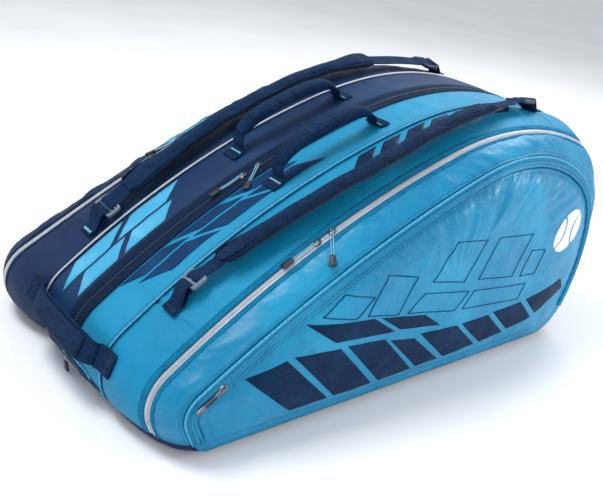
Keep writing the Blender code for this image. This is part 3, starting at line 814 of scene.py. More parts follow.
CLOTH_STEP = 0.0045
SEAM_HALF = 0.0014
# How far each gusset is filled out: the height of its crown and of its folds.
INNER_FILL = (0.0030, 0.0017)
MIDDLE_FILL = (0.0022, 0.0012)
OUTER_FILL = (0.0026, 0.0030)


def puff(cloth, crown, folds, seed, slant=0.0, pucker=0.0004):
    """Fills a cloth out between its seams: a crown, slow sags, slanting folds and gathers at both seams."""
    edge = cloth.edge_distance()
    share = np.clip(2 * edge / cloth.across[-1], 0, 1)
    along = cloth.along[:, None] + 0 * edge
    across = cloth.across[None] + 0 * along
    ends = ease(np.minimum(along, cloth.along[-1] - along) / 0.014)
    slow = noisy(cloth.points, 6, seed)
    tilted = np.stack([along + slant * across, across, 0 * along], axis=-1)
    fold = noisy(tilted, 34, seed + 1, (1, 0.35, 1)) + 0.55 * noisy(tilted, 85, seed + 2, (1, 0.45, 1))
    gather = np.sin(along * math.tau / 0.0125 + 2.5 * noisy(tilted, 20, seed + 3)) * np.exp(-edge / 0.006)
    height = crown * (1 - (1 - share) ** 2.4) * (1 + 0.4 * slow)
    height = height + folds * fold * ease(share * 1.8) + pucker * gather * ease(edge / 0.002)
    return cloth.push(height * ends - 0.0007 * np.exp(-edge / 0.0018))


def gusset_cloth(sign, edges, last):
    columns = max(10, round(abs(edges[1] - edges[0]) / CLOTH_STEP))
    y = sign * np.linspace(*edges, columns)
    return Cloth(skin(stations(HEAD_FOOT, last, CLOTH_STEP), y, blend_at(y)))


def press_seam(cloth, along, depth=0.0016, width=0.0022):
    """Draws a cloth in along a seam across it."""
    distance = (cloth.along - along)[:, None] / width
    puffed = np.exp(-((abs(distance) - 3) ** 2) / 3)
    return cloth.push((0.35 * depth * puffed - depth * np.exp(-distance**2)) + 0 * cloth.across[None])


def base():
    edge = PANEL_Y - 0.0026 - GAP
    y = np.linspace(-edge, edge, 72)
    cloth = Cloth(skin(stations(NOSE_FOOT, ROUND + HEAD_FOOT, 0.008), y, blend_at(y)))
    cloth.push(-0.0006 * abs(noisy(cloth.points, 30, 4)))
    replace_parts(cloth_piece("base_cloth", cloth, "navy_fabric", "root"), "base_panel")


ANCHOR_SEAM_X = STRAP_LOCK_X - ANCHOR_GAP - ANCHOR_LENGTH


def gussets(side, sign, looks, seed):
    """The fixed upper side of one compartment: inner and middle gussets, seam piping and stitching."""
    cloth = gusset_cloth(sign, (SEAM_Y + SEAM_HALF, ZIP_Y - 0.0043), NOSE_FOOT)
    inner = puff(cloth, *INNER_FILL, seed, 0.5)
    cross_seams = []
    for x in (ANCHOR_SEAM_X, STRAP_BUCKLE_X[side] + ANCHOR_GAP + ANCHOR_LENGTH):
        cross_seams.append(inner.along_at(x))
        press_seam(inner, cross_seams[-1])
    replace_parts(cloth_piece(f"{side}_inner_gusset_cloth", inner, looks[0], "root"), f"{side}_inner_gusset")
    cloth = gusset_cloth(sign, (SEAM_Y - SEAM_HALF, CENTRE_TAPE_HALF + GAP), END_POCKET_TOP)
    middle = puff(cloth, *MIDDLE_FILL, seed + 5)
    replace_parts(cloth_piece(f"{side}_middle_gusset_cloth", middle, looks[1], "root"), f"{side}_middle_gusset")
    path = skin(stations(HEAD_FOOT, NOSE_FOOT, CLOTH_STEP), sign * SEAM_Y, 0, -CORD_R)[:, 0]
    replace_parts(tube(f"{side}_seam_piping_cord", path, CORD_R, looks[2], "root"), f"{side}_seam_piping")
    wide = inner.across[-1]
    lines = [line_on(inner, 0.0042), line_on(middle, 0.0042), line_on(middle, middle.across[-1] - 0.0035)]
    for at in cross_seams:
        lines += [cross_line_on(inner, at + shift, 0.006, wide - 0.009) for shift in (-0.0045, 0.0045)]
    stitches(f"{side}_gusset_stitching", lines, THREADS[side], "root")
    binding = f"{side}_zip_inner_binding"
    tape = strip_on(binding, inner, wide - 0.0075, wide + 0.0002, 0.0009, looks[3], "root")
    lines = [line_on(tape, across) for across in (0.0014, 0.0060)]
    stitches(f"{side}_zip_inner_stitching", lines, THREADS[side], "root")
    return inner, middle


# ---------------------------------------------------------------- zips

TOOTH_PITCH = 0.0024
# Sections of a tooth as (reach, width, height).
TOOTH = (
    (-0.0005, 0.0006, 0.0008),
    (0.0003, 0.0015, 0.0015),
    (0.0028, 0.0013, 0.0013),
    (0.0035, 0.0006, 0.0004),
)
TAPE_THICKNESS = 0.0016
# A slider's shield from its foot to its top: heights and shares of its outline.
SLIDER_HEIGHTS = (0, 0.0004, 0.0010, 0.0014, 0.0018, 0.0024, 0.0027)
SLIDER_SHARES = (0.90, 0.99, 0.92, 0.92, 1.0, 0.97, 0.84)
# Widths and heights of a pull's ribbed tab along it, in millimetres.
PULL_WIDTHS = (4.8, 6.6, 7.2, 7.0, 7.8, 7.6, 8.4, 8.2, 9.0, 9.4, 8.8, 6.0)
PULL_HEIGHTS = (2.0, 3.0, 3.3, 2.6, 3.4, 2.7, 3.5, 2.8, 3.6, 3.5, 2.8, 1.2)


def tooth_row(name, line, reach, phase, look, body, width=1.0, pitch=TOOTH_PITCH):
    """Zip teeth along a line. Reach scales how far they stand across it, to the other side if negative."""
    profile = [(reach * r, width * w, h) for r, w, h in TOOTH]
    beads(name, [line], profile, pitch, look, body, phase, crosswise=True)


def zip_half(name, cloth, line, reach, phase, body):
    """One half of a side zip: a thin tape and its row of teeth."""
    tape = cloth_piece(f"{name}_tape_cloth", cloth, "silver_zip", body, TAPE_THICKNESS)
    tooth_row(f"{name}_teeth", line, reach, phase, "silver_zip", body)
    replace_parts(tape, f"{name}_tape")


def side_zip(side, sign):
    """The zip between the inner gusset and the cover: one half stays, the other opens with the cover."""

    def strip(first, last, inset):
        y = np.linspace(sign * (ZIP_Y + first), sign * (ZIP_Y + last), 4)
        return Cloth(skin(stations(HEAD_FOOT, NOSE_FOOT, CLOTH_STEP), y, np.full(4, ZIP_BLEND), inset))

    whole = strip(-0.004, 0.004, 0)
    line = line_on(whole, whole.across[-1] / 2, 0.0, 0.004, whole.along[-1] - 0.004)
    zip_half(f"{side}_zip_inner", strip(-0.0040, -GAP / 2, 0.0005), line, -sign, 0.25, "root")
    zip_half(f"{side}_zip_outer", strip(GAP / 2, 0.0043, 0.0005), line, sign, 0.75, f"{side}_cover")


def centre_zip():
    """A navy band along the middle with its own zip."""
    y = np.linspace(-CENTRE_TAPE_HALF, CENTRE_TAPE_HALF, 15)
    band = Cloth(skin(stations(HEAD_FOOT, END_POCKET_TOP, CLOTH_STEP), y, np.zeros(15), 0.0005))
    half = band.across[-1] / 2
    offset = abs(band.across - half)[None]
    flap = 0.0016 * ease((offset - 0.0035) / 0.002) * ease((half - offset) / 0.004)
    band.push(flap + 0.0004 * noisy(band.points, 60, 8) * ease((offset - 0.0035) / 0.004))
    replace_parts(cloth_piece("centre_zip_band", band, "dark_tape", "root", TAPE_THICKNESS), "centre_zip_tape")
    line = line_on(band, half, 0.0002, 0.004, band.along[-1] - 0.004)
    for name, reach, phase in (("near", 0.85, 0.25), ("far", -0.85, 0.75)):
        tooth_row(f"centre_zip_teeth_{name}", line, reach, phase, "centre_zip", "root")
    lines = [line_on(band, half + shift) for shift in (-0.0125, -0.0062, 0.0062, 0.0125)]
    stitches("centre_zip_stitching", lines, "stitch_navy", "root")


class Place:
    """A place with three directions: along, across and up."""

    def __init__(self, spot, along, up):
        self.spot = np.array(spot, float)
        self.along = unit(np.array(along, float))
        self.up = unit(np.array(up, float))
        self.across = np.cross(self.up, self.along)

    def put(self, points):
        points = np.asarray(points, float)
        flat = points[..., :1] * self.along + points[..., 1:2] * self.across
        return self.spot + flat + points[..., 2:] * self.up


def heading_at(s, y, t, inset=0.0):
    """The point, the direction of travel and the outward direction at a station."""
    point = skin(s, y, t, inset)[0, 0]
    ahead = skin([s - 0.01, s + 0.01], y, t, inset)[:, 0]
    travel = unit(ahead[1] - ahead[0])
    return point, travel, np.array([travel[2], 0, -travel[0]])


def on_top(x, y=0.0, t=0.0, inset=0.0):
    return heading_at(station_at(x, y, t, inset), y, t, inset)


def slider_piece(name, place, body, width=0.008, length=0.011):
    """A cast zip slider: a shield with rounded edges and a bridge that holds the pull."""
    angle = math.tau * np.arange(28) / 28
    x = np.sign(np.cos(angle)) * abs(np.cos(angle)) ** 0.7 * length / 2
    y = np.sign(np.sin(angle)) * abs(np.sin(angle)) ** 0.7 * width / 2 * (1 - 0.16 * np.cos(angle))
    rings = []
    for z, share in zip(SLIDER_HEIGHTS, SLIDER_SHARES):
        rings.append(place.put(np.stack([x * share, y * share, np.full(28, z)], axis=-1)))
    shield = rings_piece(name, rings, "metal", body, sharp=50)
    share = np.linspace(0, math.pi, 15)
    arch = np.stack([-0.0036 * np.cos(share), 0 * share, 0.0022 + 0.0028 * np.sin(share) ** 0.6], axis=-1)
    frames = path_frames(place.put(arch), place.up)
    sections = [round_section(0.0026, 0.0009, 12)] * len(frames)
    bridge = rings_piece(f"{name}_bridge", sweep_rings(frames, sections), "metal", body)
    return joined(name, [shield, bridge])


def cord_loop(place, length):
    """The loop of cord through the bridge, laid along -X of the place."""
    turn = np.linspace(-math.pi / 2, math.pi / 2, 9)
    spread, near, far = 0.0014, -0.0004, -(length - PULL_TAB + 0.002)
    run = np.linspace(far, near, 16)
    sag = -0.0009 * np.sin(math.pi * (run - near) / (far - near))
    first = np.stack([run, np.full(16, -spread), sag], axis=-1)
    bend = np.stack([near + 0.0014 * np.cos(turn), spread * np.sin(turn), 0 * turn], axis=-1)
    return place.put(np.concatenate([first, bend[1:-1], first[::-1] * (1, -1, 1)]))


def cord_pull_piece(name, place, length, body):
    """A cord loop with a moulded, ribbed tab, which it returns."""
    tube(name, cord_loop(place, length), 0.0006, "cord_pull", body, 8)
    xs = -(length - PULL_TAB + np.linspace(-0.0004, PULL_TAB + 0.0015, len(PULL_WIDTHS)))
    rings = []
    for x, width, height in zip(xs, PULL_WIDTHS, PULL_HEIGHTS):
        section = round_section(width / 1000, height / 1000, 20, 0.5)
        rings.append(place.put(np.column_stack([np.full(20, x), section])))
    return rings_piece(f"{name}_tab", rings, "pull_tab", body)


def metal_pull_piece(name, place, length, body):
    """A cast puller with a waist and a rounded end, hung on a small link."""
    link = tube(name, cord_loop(place, 0.0105 + PULL_TAB), 0.0007, "metal", body, 8)
    xs = -np.linspace(0.0085, length + 0.0012, 18)
    share = np.linspace(0, 1, 18)
    widths = 0.0052 + 0.0022 * share - 0.0008 * np.sin(math.pi * share)
    widths[[0, -1]] *= 0.55
    rings = []
    for x, width, u in zip(xs, widths, share):
        height = 0.0022 * min(1, 0.5 + 8 * min(u, 1 - u))
        rings.append(place.put(np.column_stack([np.full(20, x), round_section(width, height, 20, 0.45)])))
    return joined(name, [link, rings_piece(f"{name}_bar", rings, "metal", body)])


def slider_set(name, blend, x, y, lean):
    """A slider and its pull, which lies down the zip, turned outwards by lean."""
    spot, travel, normal = on_top(x, y, blend)
    spot = spot + normal * SLIDER_LIFT
    node = f"{name}_slider"
    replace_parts(slider_piece(f"{name}_slider_cast", Place(spot, -travel, normal), node), node)
    side = np.array([0, math.copysign(1, y) if y else -1, 0])
    fall = GUSSET_FALL if y else 0.0
    slope = side * math.cos(fall) - normal * math.sin(fall)
    lie = travel * math.cos(lean) + slope * math.sin(lean)
    up = normal * math.cos(fall) + side * math.sin(fall) if lean else normal
    up = up - lie * np.dot(up, lie)
    place = Place(spot + normal * SLIDER_BRIDGE_Z, -lie, up)
    node = f"{name}_pull"
    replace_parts(cord_pull_piece(f"{name}_pull_cord", place, PULL_LENGTH["zip"], node), node)


def all_sliders():
    for side, sign in SIDES:
        for end, (x, lean) in ZIP_SLIDERS[side].items():
            slider_set(f"{side}_zip_{end}", ZIP_BLEND, x, sign * ZIP_Y, math.radians(lean))
    for end, (x, lean) in CENTRE_SLIDERS.items():
        slider_set(f"centre_zip_{end}", 0, x, 0.0, math.radians(lean))
    y = -(PANEL_Y + WELT_DEPTH + 2 * GAP)
    spot, travel, _ = on_top(POCKET_SLIDER_X, y, 1, WELT_INSET + WELT_WIDTH / 2)
    normal = np.array([0, -1, 0])
    node = "near_pocket_zip_slider"
    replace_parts(slider_piece("near_pocket_slider_cast", Place(spot, -travel, normal), node), node)
    place = Place(spot + normal * SLIDER_BRIDGE_Z, -travel, normal)
    node = "near_pocket_zip_pull"
    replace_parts(metal_pull_piece("near_pocket_puller", place, PULL_LENGTH["pocket"], node), node)


# ---------------------------------------------------------------- covers and side pockets


def rim(sign, inset, s):
    """A side panel's outline (x, z) drawn in by inset. The far one reaches further at the narrow end."""
    return skin(s, sign * PANEL_Y, 1, inset)[:, 0][:, [0, 2]]


POCKET_MIDDLE = np.array([POCKET_CENTRE[0] + CENTRING, POCKET_CENTRE[1]])


class PocketFront:
    """The bulging face of a side pocket: how far it stands out at each (x, z), and its wrinkles."""

    def __init__(self, sign, seed):
        self.sign = sign
        self.seed = seed
        edge = rim(sign, POCKET_INSET, np.linspace(0, ROUND, 1200, endpoint=False))
        spokes = edge - POCKET_MIDDLE
        angle = np.arctan2(spokes[:, 1], spokes[:, 0])
        order = np.argsort(angle)
        self.angle = angle[order]
        self.radius = np.linalg.norm(spokes, axis=1)[order]
        self.run = lengths(edge)[order]

    def depth(self, x, z):
        spokes = np.stack([x, z], axis=-1) - POCKET_MIDDLE
        angle = np.arctan2(spokes[..., 1], spokes[..., 0])
        radius = np.interp(angle, self.angle, self.radius, period=math.tau)
        run = np.interp(angle, self.angle, self.run)
        share = np.clip(np.linalg.norm(spokes, axis=-1) / radius, 0, 1)
        inward = (1 - share) * radius
        high = ease((spokes[..., 1] + 0.03) / 0.10)
        dome = curve_through(share, (0, 0.5, 0.80, 0.94, 1.0), (0.0150, 0.0142, 0.0118, 0.0064, 0.0009))
        rays = np.stack([run, inward, 0 * run], axis=-1)
        ray = noisy(rays, 30, self.seed, (1, 0.25, 1)) + 0.16 * noisy(rays, 62, self.seed + 1, (1, 0.25, 1))
        ray = 0.6 - 1.6 * np.sqrt(ray**2 + 0.006)
        gather = np.sin(run * math.tau / 0.014 + 3 * noisy(rays, 16, self.seed + 2)) * np.exp(-inward / 0.012)
        flat = np.stack([x + 0.5 * z, z - 0.3 * x, 0 * x], axis=-1)
        slack = noisy(flat, 13, self.seed + 3, (1, 1.6, 1)) + 0.4 * noisy(flat, 42, self.seed + 4)
        reach = ease(inward / 0.010)
        right = ease((spokes[..., 0] + 0.10) / 0.20)
        tension = 0.0060 * ray * np.exp(-(((inward - 0.034) / 0.038) ** 2)) * high * (0.3 + 0.7 * right)
        from_mark = np.hypot(x - BALL[0], z - BALL[1])
        wrinkles = (tension + 0.0022 * slack) * (0.25 + 0.75 * ease((from_mark - BALL_R) / 0.03))
        return dome + wrinkles * reach + 0.0009 * gather * ease(inward / 0.003)

    def surface(self, x, z, lift=0.0):
        """Points and normals for places given as arrays of x and z."""
        step = 0.0015

        def at(a, b):
            return np.stack([a, self.sign * (PANEL_Y + self.depth(a, b)), b], axis=-1)

        normals = unit(np.cross(at(x + step, z) - at(x - step, z), at(x, z + step) - at(x, z - step)))
        normals = normals * np.sign(normals[..., 1:2] * self.sign)
        return at(x, z) + normals * lift, normals


def dish(name, inset, scales, depth, look, body, sign, thickness):
    """A face inside the panel's outline, from rings drawn in towards the pocket's middle."""
    edge = rim(sign, inset, stations(0, ROUND, CLOTH_STEP)[:-1])
    points = []
    for scale in scales:
        x, z = (POCKET_MIDDLE + (edge - POCKET_MIDDLE) * scale).T
        points.append(np.stack([x, sign * (PANEL_Y + depth(x, z)), z], axis=-1))
    points.append(points[-1].mean(axis=0)[None])
    obj = piece(name, np.concatenate(points), bowl_faces(len(scales), len(edge)), look, body)
    bm = bmesh.new()
    bm.from_mesh(obj.data)
    bmesh.ops.recalc_face_normals(bm, faces=bm.faces)
    if sum(f.normal.y * f.calc_area() for f in bm.faces) * sign < 0:
        bmesh.ops.reverse_faces(bm, faces=bm.faces)
    bm.to_mesh(obj.data)
    bm.free()
    return thicken(obj, thickness)


def welt(side, sign, s, look, body, seed):
    """The strip over the pocket's zip, with a lip along each edge."""
    columns = []
    for u in np.linspace(0, 1, 13):
        lip = 0.0004 + 0.0024 * abs(math.sin(math.tau * u)) ** 0.6
        column = skin(s, sign * PANEL_Y, 1, WELT_INSET + WELT_WIDTH * u)[:, 0]
        column[:, 1] = sign * (PANEL_Y + GAP + lip)
        columns.append(column)
    cloth = Cloth(np.stack(columns, axis=1), flat=True)
    cloth.push(0.0003 * noisy(cloth.points, 70, seed))
    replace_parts(cloth_piece(f"{side}_pocket_welt_cloth", cloth, look, body, 0.0009), f"{side}_pocket_welt")
    lines = [line_on(cloth, across, 0.0002) for across in (0.0026, cloth.across[-1] - 0.0026)]
    stitches(f"{side}_welt_stitching", lines, THREADS[side], body)


def pocket(side, sign, look, seed):
    """A side pocket's bulging face, sewn round its edge."""
    body = f"{side}_pocket"
    front = PocketFront(sign, seed)
    scales = 1 - np.linspace(0, 1, 46) ** 1.25 * 0.985
    face = dish(f"{side}_pocket_front_cloth", POCKET_INSET, scales, front.depth, look, body, sign, 0.0008)
    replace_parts(face, f"{side}_pocket_front")
    edge = rim(sign, POCKET_INSET, np.linspace(0, ROUND, 1500))
    x, z = (POCKET_MIDDLE + (edge - POCKET_MIDDLE) * 0.972).T
    stitches(f"{side}_pocket_stitching", [front.surface(x, z)], THREADS[side], body)
    return front


def cover(side, sign, looks, seed):
    """The moving outer half of a compartment: outer gusset, side panel, piping, welt and pocket."""
    body = f"{side}_cover"
    cloth = gusset_cloth(sign, (ZIP_Y + 0.0046, PANEL_Y - 0.0029), NOSE_FOOT)
    gusset = puff(cloth, *OUTER_FILL, seed, 0.9, 0.0009)
    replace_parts(cloth_piece(f"{side}_outer_gusset_cloth", gusset, looks[0], body), f"{side}_outer_gusset")
    tape = strip_on(f"{side}_zip_outer_binding", gusset, -0.0002, 0.0070, 0.0009, looks[3], body)
    lines = [line_on(tape, 0.0014), line_on(tape, 0.0058), line_on(gusset, gusset.across[-1] - 0.0050)]
    stitches(f"{side}_cover_stitching", lines, THREADS[side], body)
    s = stations(HEAD_FOOT, NOSE_FOOT, CLOTH_STEP)
    path = skin(s, sign * (PANEL_Y - 0.0013), 1, -CORD_R)[:, 0]
    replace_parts(tube(f"{side}_panel_piping_cord", path, CORD_R, looks[2], body), f"{side}_panel_piping")

    def nearly_flat(x, z):
        return 0.0003 * noisy(np.stack([x, z, 0 * x], axis=-1), 20, seed)

    scales = np.linspace(1, 0.06, 18)
    panel = dish(f"{side}_side_panel_cloth", 0.0, scales, nearly_flat, looks[1], body, sign, 0.0024)
    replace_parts(panel, f"{side}_side_panel")
    welt(side, sign, s, looks[0], body, seed + 6)
    return gusset, pocket(side, sign, looks[1], seed + 9)


# ---------------------------------------------------------------- padded pieces

SIM_FRAMES = 20
PRESSURE = 4.0
SWELL_CAP = 0.004


def inflate(obj, voxel):
    """Remeshes a closed form and blows it up as cloth, no point moving further than the cap."""
    scene = bpy.context.scene
    remesh = obj.modifiers.new("remesh", "REMESH")
    remesh.mode = "VOXEL"
    remesh.voxel_size = voxel
    remesh.use_smooth_shade = True
    graph = bpy.context.evaluated_depsgraph_get()
    looks = list(obj.data.materials)
    mesh = bpy.data.meshes.new_from_object(obj.evaluated_get(graph))
    obj.modifiers.clear()
    obj.data = mesh
    mesh.materials.clear()
    for look in looks:
        mesh.materials.append(look)
    rest = np.array([v.co for v in mesh.vertices])
    cloth = obj.modifiers.new("cloth", "CLOTH")
    cloth.settings.quality = 4
    cloth.settings.use_pressure = True
    cloth.settings.uniform_pressure_force = PRESSURE
    cloth.settings.effector_weights.gravity = 0
    cloth.point_cache.frame_start = 1
    cloth.point_cache.frame_end = SIM_FRAMES
    for number in range(1, SIM_FRAMES + 1):
        scene.frame_set(number)
    moved = obj.evaluated_get(bpy.context.evaluated_depsgraph_get()).to_mesh()
    shift = np.array([v.co for v in moved.vertices]) - rest
    shift = shift - shift.mean(axis=0)
    far = np.linalg.norm(shift, axis=1, keepdims=True)
    shift = shift * np.minimum(1, SWELL_CAP / np.maximum(far, 1e-9))
    obj.modifiers.clear()
    scene.frame_set(1)
    mesh.vertices.foreach_set("co", (rest + shift).astype(np.float32).ravel())
    mesh.shade_smooth()
    smooth = obj.modifiers.new("smooth", "SMOOTH")
    smooth.iterations = 2
    smooth.factor = 0.5
    finer = obj.modifiers.new("finer", "SUBSURF")
    finer.levels = 1
    finer.render_levels = 1
    return obj


def surface_tree(obj):
    graph = bpy.context.evaluated_depsgraph_get()
    return BVHTree.FromObject(obj, graph)


def dropped(tree, points, direction, back=0.03):
    """Points pushed along a direction on to a surface, from a little way back, with the surface's normals."""
    found, normals = [], []
    for p in points:
        start = Vector(p) - Vector(direction) * back
        hit, normal, _, _ = tree.ray_cast(start, Vector(direction), 3 * back)
        if hit is not None:
            found.append(tuple(hit))
            normals.append(tuple(normal))
    return np.array(found), np.array(normals)


# ---------------------------------------------------------------- handles


def arch_spine(start, end, up, rise, count, power=0.75):
    """Frames along an arch from start to end, in the plane of up."""
    middle, half = (start + end) / 2, (end - start) / 2
    angle = np.linspace(0, math.pi, count)
    c, s = np.cos(angle), np.sin(angle)
    wide = np.sign(c) * abs(c) ** power
    points = middle - np.outer(wide, half) + np.outer(abs(s) ** power * rise, up)
    run = lengths(points)
    even = np.linspace(0, run[-1], count)
    points = np.stack([np.interp(even, run, points[:, i]) for i in range(3)], axis=-1)
    side = np.cross(unit(half), up)
    tangents = unit(np.gradient(points, axis=0))
    return [(p, side, np.cross(side, tangent)) for p, tangent in zip(points, tangents)]


def flat_band(name, frames, width, thickness, look, body):
    """Webbing along frames, with rounded edges; the width may vary along it."""
    sections = [round_section(w, thickness, 16, 0.35) for w in np.broadcast_to(width, len(frames))]
    return rings_piece(name, sweep_rings(frames, sections), look, body)


HANDLE_FRAMES = 61
GRIP_SHARE = (0.09, 0.91)
FOOT_PATCH = 0.017
SEWN_LIFT = 0.0034


def sewn_along(frames, across, lift):
    """A stitch line along webbing, at a distance across it."""
    points = [p + side * across + up * lift for p, side, up in frames]
    return np.array(points), np.array([up for _, _, up in frames])


def sewn_across(frame, half, lift, count):
    """A stitch line across webbing."""
    p, side, up = frame
    points = [p + side * a + up * lift for a in np.linspace(-half, half, count)]
    return np.array(points), np.tile(up, (count, 1))


def foot_patch(name, x, y, turn):
    """Webbing sewn flat on the gusset that rises to the handle's foot at x, coming from the side of turn."""
    points = []
    for u in np.linspace(0, 1, 22):
        spot, _, normal = on_top(x + turn * FOOT_PATCH * (1 - u), y)
        lift = SEWN_LIFT + (HANDLE_LIFT - SEWN_LIFT) * ease((u - 0.72) / 0.28)
        points.append(spot + normal * lift)
    frames = path_frames(points)
    flat_band(name, frames, 0.027, 0.0030, "webbing", "root")
    lines = [sewn_along(frames[1:13], across, 0.0016) for across in (-0.0105, 0.0105)]
    lines += [sewn_across(frames[k], 0.0105, 0.0016, 12) for k in (1, 12)]
    stitches(f"{name}_stitching", lines, "stitch_navy", "root")
    bartack(f"{name}_bartack", [sewn_across(frames[15], 0.011, 0.0015, 16)], "stitch_pale", "root")


def handle(side, sign):
    """A webbing arch with a soft rolled grip round its middle."""
    body = f"{side}_handle"
    feet = []
    for x in HANDLE_FEET_X[side]:
        spot, _, normal = on_top(x, sign * HANDLE_Y)
        feet.append(spot + normal * HANDLE_LIFT)
    chord = unit(feet[1] - feet[0])
    up = np.cross(chord, (0, 1, 0))
    frames = arch_spine(feet[0], feet[1], up, HANDLE_RISE, HANDLE_FRAMES)
    share = np.linspace(0, 1, HANDLE_FRAMES)
    edge = np.minimum(share, 1 - share)
    width = 0.015 + 0.008 * ease(edge / 0.05) - 0.008 * ease(edge / 0.2)
    webbing = flat_band(f"{side}_handle_band", frames, width, 0.0034, "webbing", body)
    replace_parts(webbing, f"{side}_handle_webbing")
    first, last = (round(g * (HANDLE_FRAMES - 1)) for g in GRIP_SHARE)
    grip_frames = frames[first:last + 1]
    u = np.linspace(0, 1, len(grip_frames))
    end = 1 - ease(np.minimum(u, 1 - u) / 0.16)
    mouth = 1 - 0.45 * ease(1 - np.minimum(u, 1 - u) / 0.03)
    widths = (GRIP_SIZE[0] - 0.0025 + 0.0030 * end) * mouth
    heights = (GRIP_SIZE[1] - 0.0005 - 0.0070 * end) * mouth
    sections = [round_section(w, h, 20, 0.8) for w, h in zip(widths, heights)]
    grip = rings_piece(f"{side}_handle_roll", sweep_rings(grip_frames, sections), "webbing", body)
    inflate(grip, 0.0032)
    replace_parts(grip, f"{side}_handle_grip")
    tree = surface_tree(grip)
    lines = []
    for across in (-0.0085, 0.0085):
        line = [p + s * across for p, s, _ in grip_frames[3:-3]]
        middle_up = grip_frames[len(grip_frames) // 2][2]
        found = dropped(tree, line, -middle_up)
        if len(found[0]) > 5:
            lines.append(found)
    stitches(f"{side}_handle_stitching", lines, "stitch_navy", body)
    for name, x, turn in (("narrow", HANDLE_FEET_X[side][0], -1), ("head", HANDLE_FEET_X[side][1], 1)):
        foot_patch(f"{side}_handle_{name}_foot", x, sign * HANDLE_Y, turn)


END_HANDLE_STATION = 6.4
END_HANDLE_LIFT = 0.0075
END_HANDLE_INSET = 0.006


def end_handle():
    """The grab handle across the narrow end: two layers of webbing bowed out from seam to seam."""
    spot, _, normal = heading_at(END_HANDLE_STATION, 0, 0)
    half = SEAM_Y - END_HANDLE_INSET
    ends = [spot + normal * END_HANDLE_LIFT + np.array([0, y, 0]) for y in (-half, half)]
    frames = arch_spine(*ends, normal, 0.016, 41, 0.7)
    share = np.linspace(0, 1, 41)
    edge = np.minimum(share, 1 - share)
    width = 0.027 + 0.007 * ease(edge / 0.15)
    under = flat_band("end_handle_band", frames, width, 0.0030, "webbing", "end_handle")
    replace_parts(under, "end_grab_handle")
    raised = [(p + up * 0.0024, side, up) for p, side, up in frames[5:-5]]
    width = 0.029 - 0.006 * (1 - ease(edge[5:-5] / 0.2))
    flat_band("end_handle_pad", raised, width, 0.0030, "webbing", "end_handle")
    lines = [sewn_along(raised[2:-2], across, 0.0015) for across in (-0.0125, 0.0125)]
    stitches("end_handle_stitching", lines, "stitch_navy", "end_handle")
    for side, sign in SIDES:
        points = []
        for k, y in enumerate(sign * np.linspace(half + 0.001, SEAM_Y + 0.024, 16)):
            place, _, up = heading_at(END_HANDLE_STATION, y, float(blend_at(y)[0]))
            lift = END_HANDLE_LIFT - (END_HANDLE_LIFT - 0.0042) * ease(k / 4)
            points.append(place + up * lift)
        tab = path_frames(points, normal)
        flat_band(f"{side}_end_handle_tab", tab, 0.030, 0.0030, "webbing", "root")
        tack = sewn_across(tab[11], 0.013, 0.0014, 20)
        bartack(f"{side}_end_handle_bartack", [tack], "stitch_navy", "root")


# ---------------------------------------------------------------- shoulder straps


def strap_frame(side, sign, x, lift, bank=STRAP_BANK):
    """Place, across and up of the strap at x, lifted off the inner gusset, with its outer edge raised."""
    share = (x - STRAP_LOCK_X) / (STRAP_BUCKLE_X[side] - STRAP_LOCK_X)
    y = STRAP_Y[side] + STRAP_BOW[side] * math.sin(math.pi * min(1.0, max(0.0, share)))
    blend = float(np.interp(y, (SEAM_Y, INNER_BULGE[0], ZIP_Y), (0, INNER_BULGE[1], ZIP_BLEND)))
    spot, travel, normal = on_top(x, sign * y, blend)
    across = np.array([0, sign, 0]) * math.cos(bank) + normal * math.sin(bank)
    return spot + normal * lift, across, np.cross(across, -travel) * -sign


def hoop(name, place, size, look, body, bars):
    """A moulded frame of rounded bars, with cross bars at distances along it."""
    length, width, thickness = size
    half_l, half_w = (length - BUCKLE_RIM) / 2, (width - BUCKLE_RIM) / 2
    section = round_section(BUCKLE_RIM, thickness, 14, 0.5)
    rings = []
    for k, (sx, sy) in enumerate(((1, 1), (-1, 1), (-1, -1), (1, -1))):
        centre = np.array([sx * (half_l - BUCKLE_CORNER), sy * (half_w - BUCKLE_CORNER), 0])
        for angle in np.linspace(k * math.pi / 2, (k + 1) * math.pi / 2, 6):
            out = np.array([math.cos(angle), math.sin(angle), 0])
            ring = np.outer(section[:, 0], out) + np.outer(section[:, 1], (0, 0, 1))
            rings.append(place.put(centre + BUCKLE_CORNER * out + ring))
    parts = [rings_piece(name, rings, look, body, capped=False)]
    bar = round_section(0.0032, thickness * 0.8, 14, 0.6)
    for k, at in enumerate(bars):
        rings = []
        for y in np.linspace(-half_w, half_w, 6):
            rings.append(place.put(np.column_stack([at + bar[:, 0], np.full(len(bar), y), bar[:, 1]])))
        parts.append(rings_piece(f"{name}_bar_{k}", rings, look, body))
    return joined(name, parts)


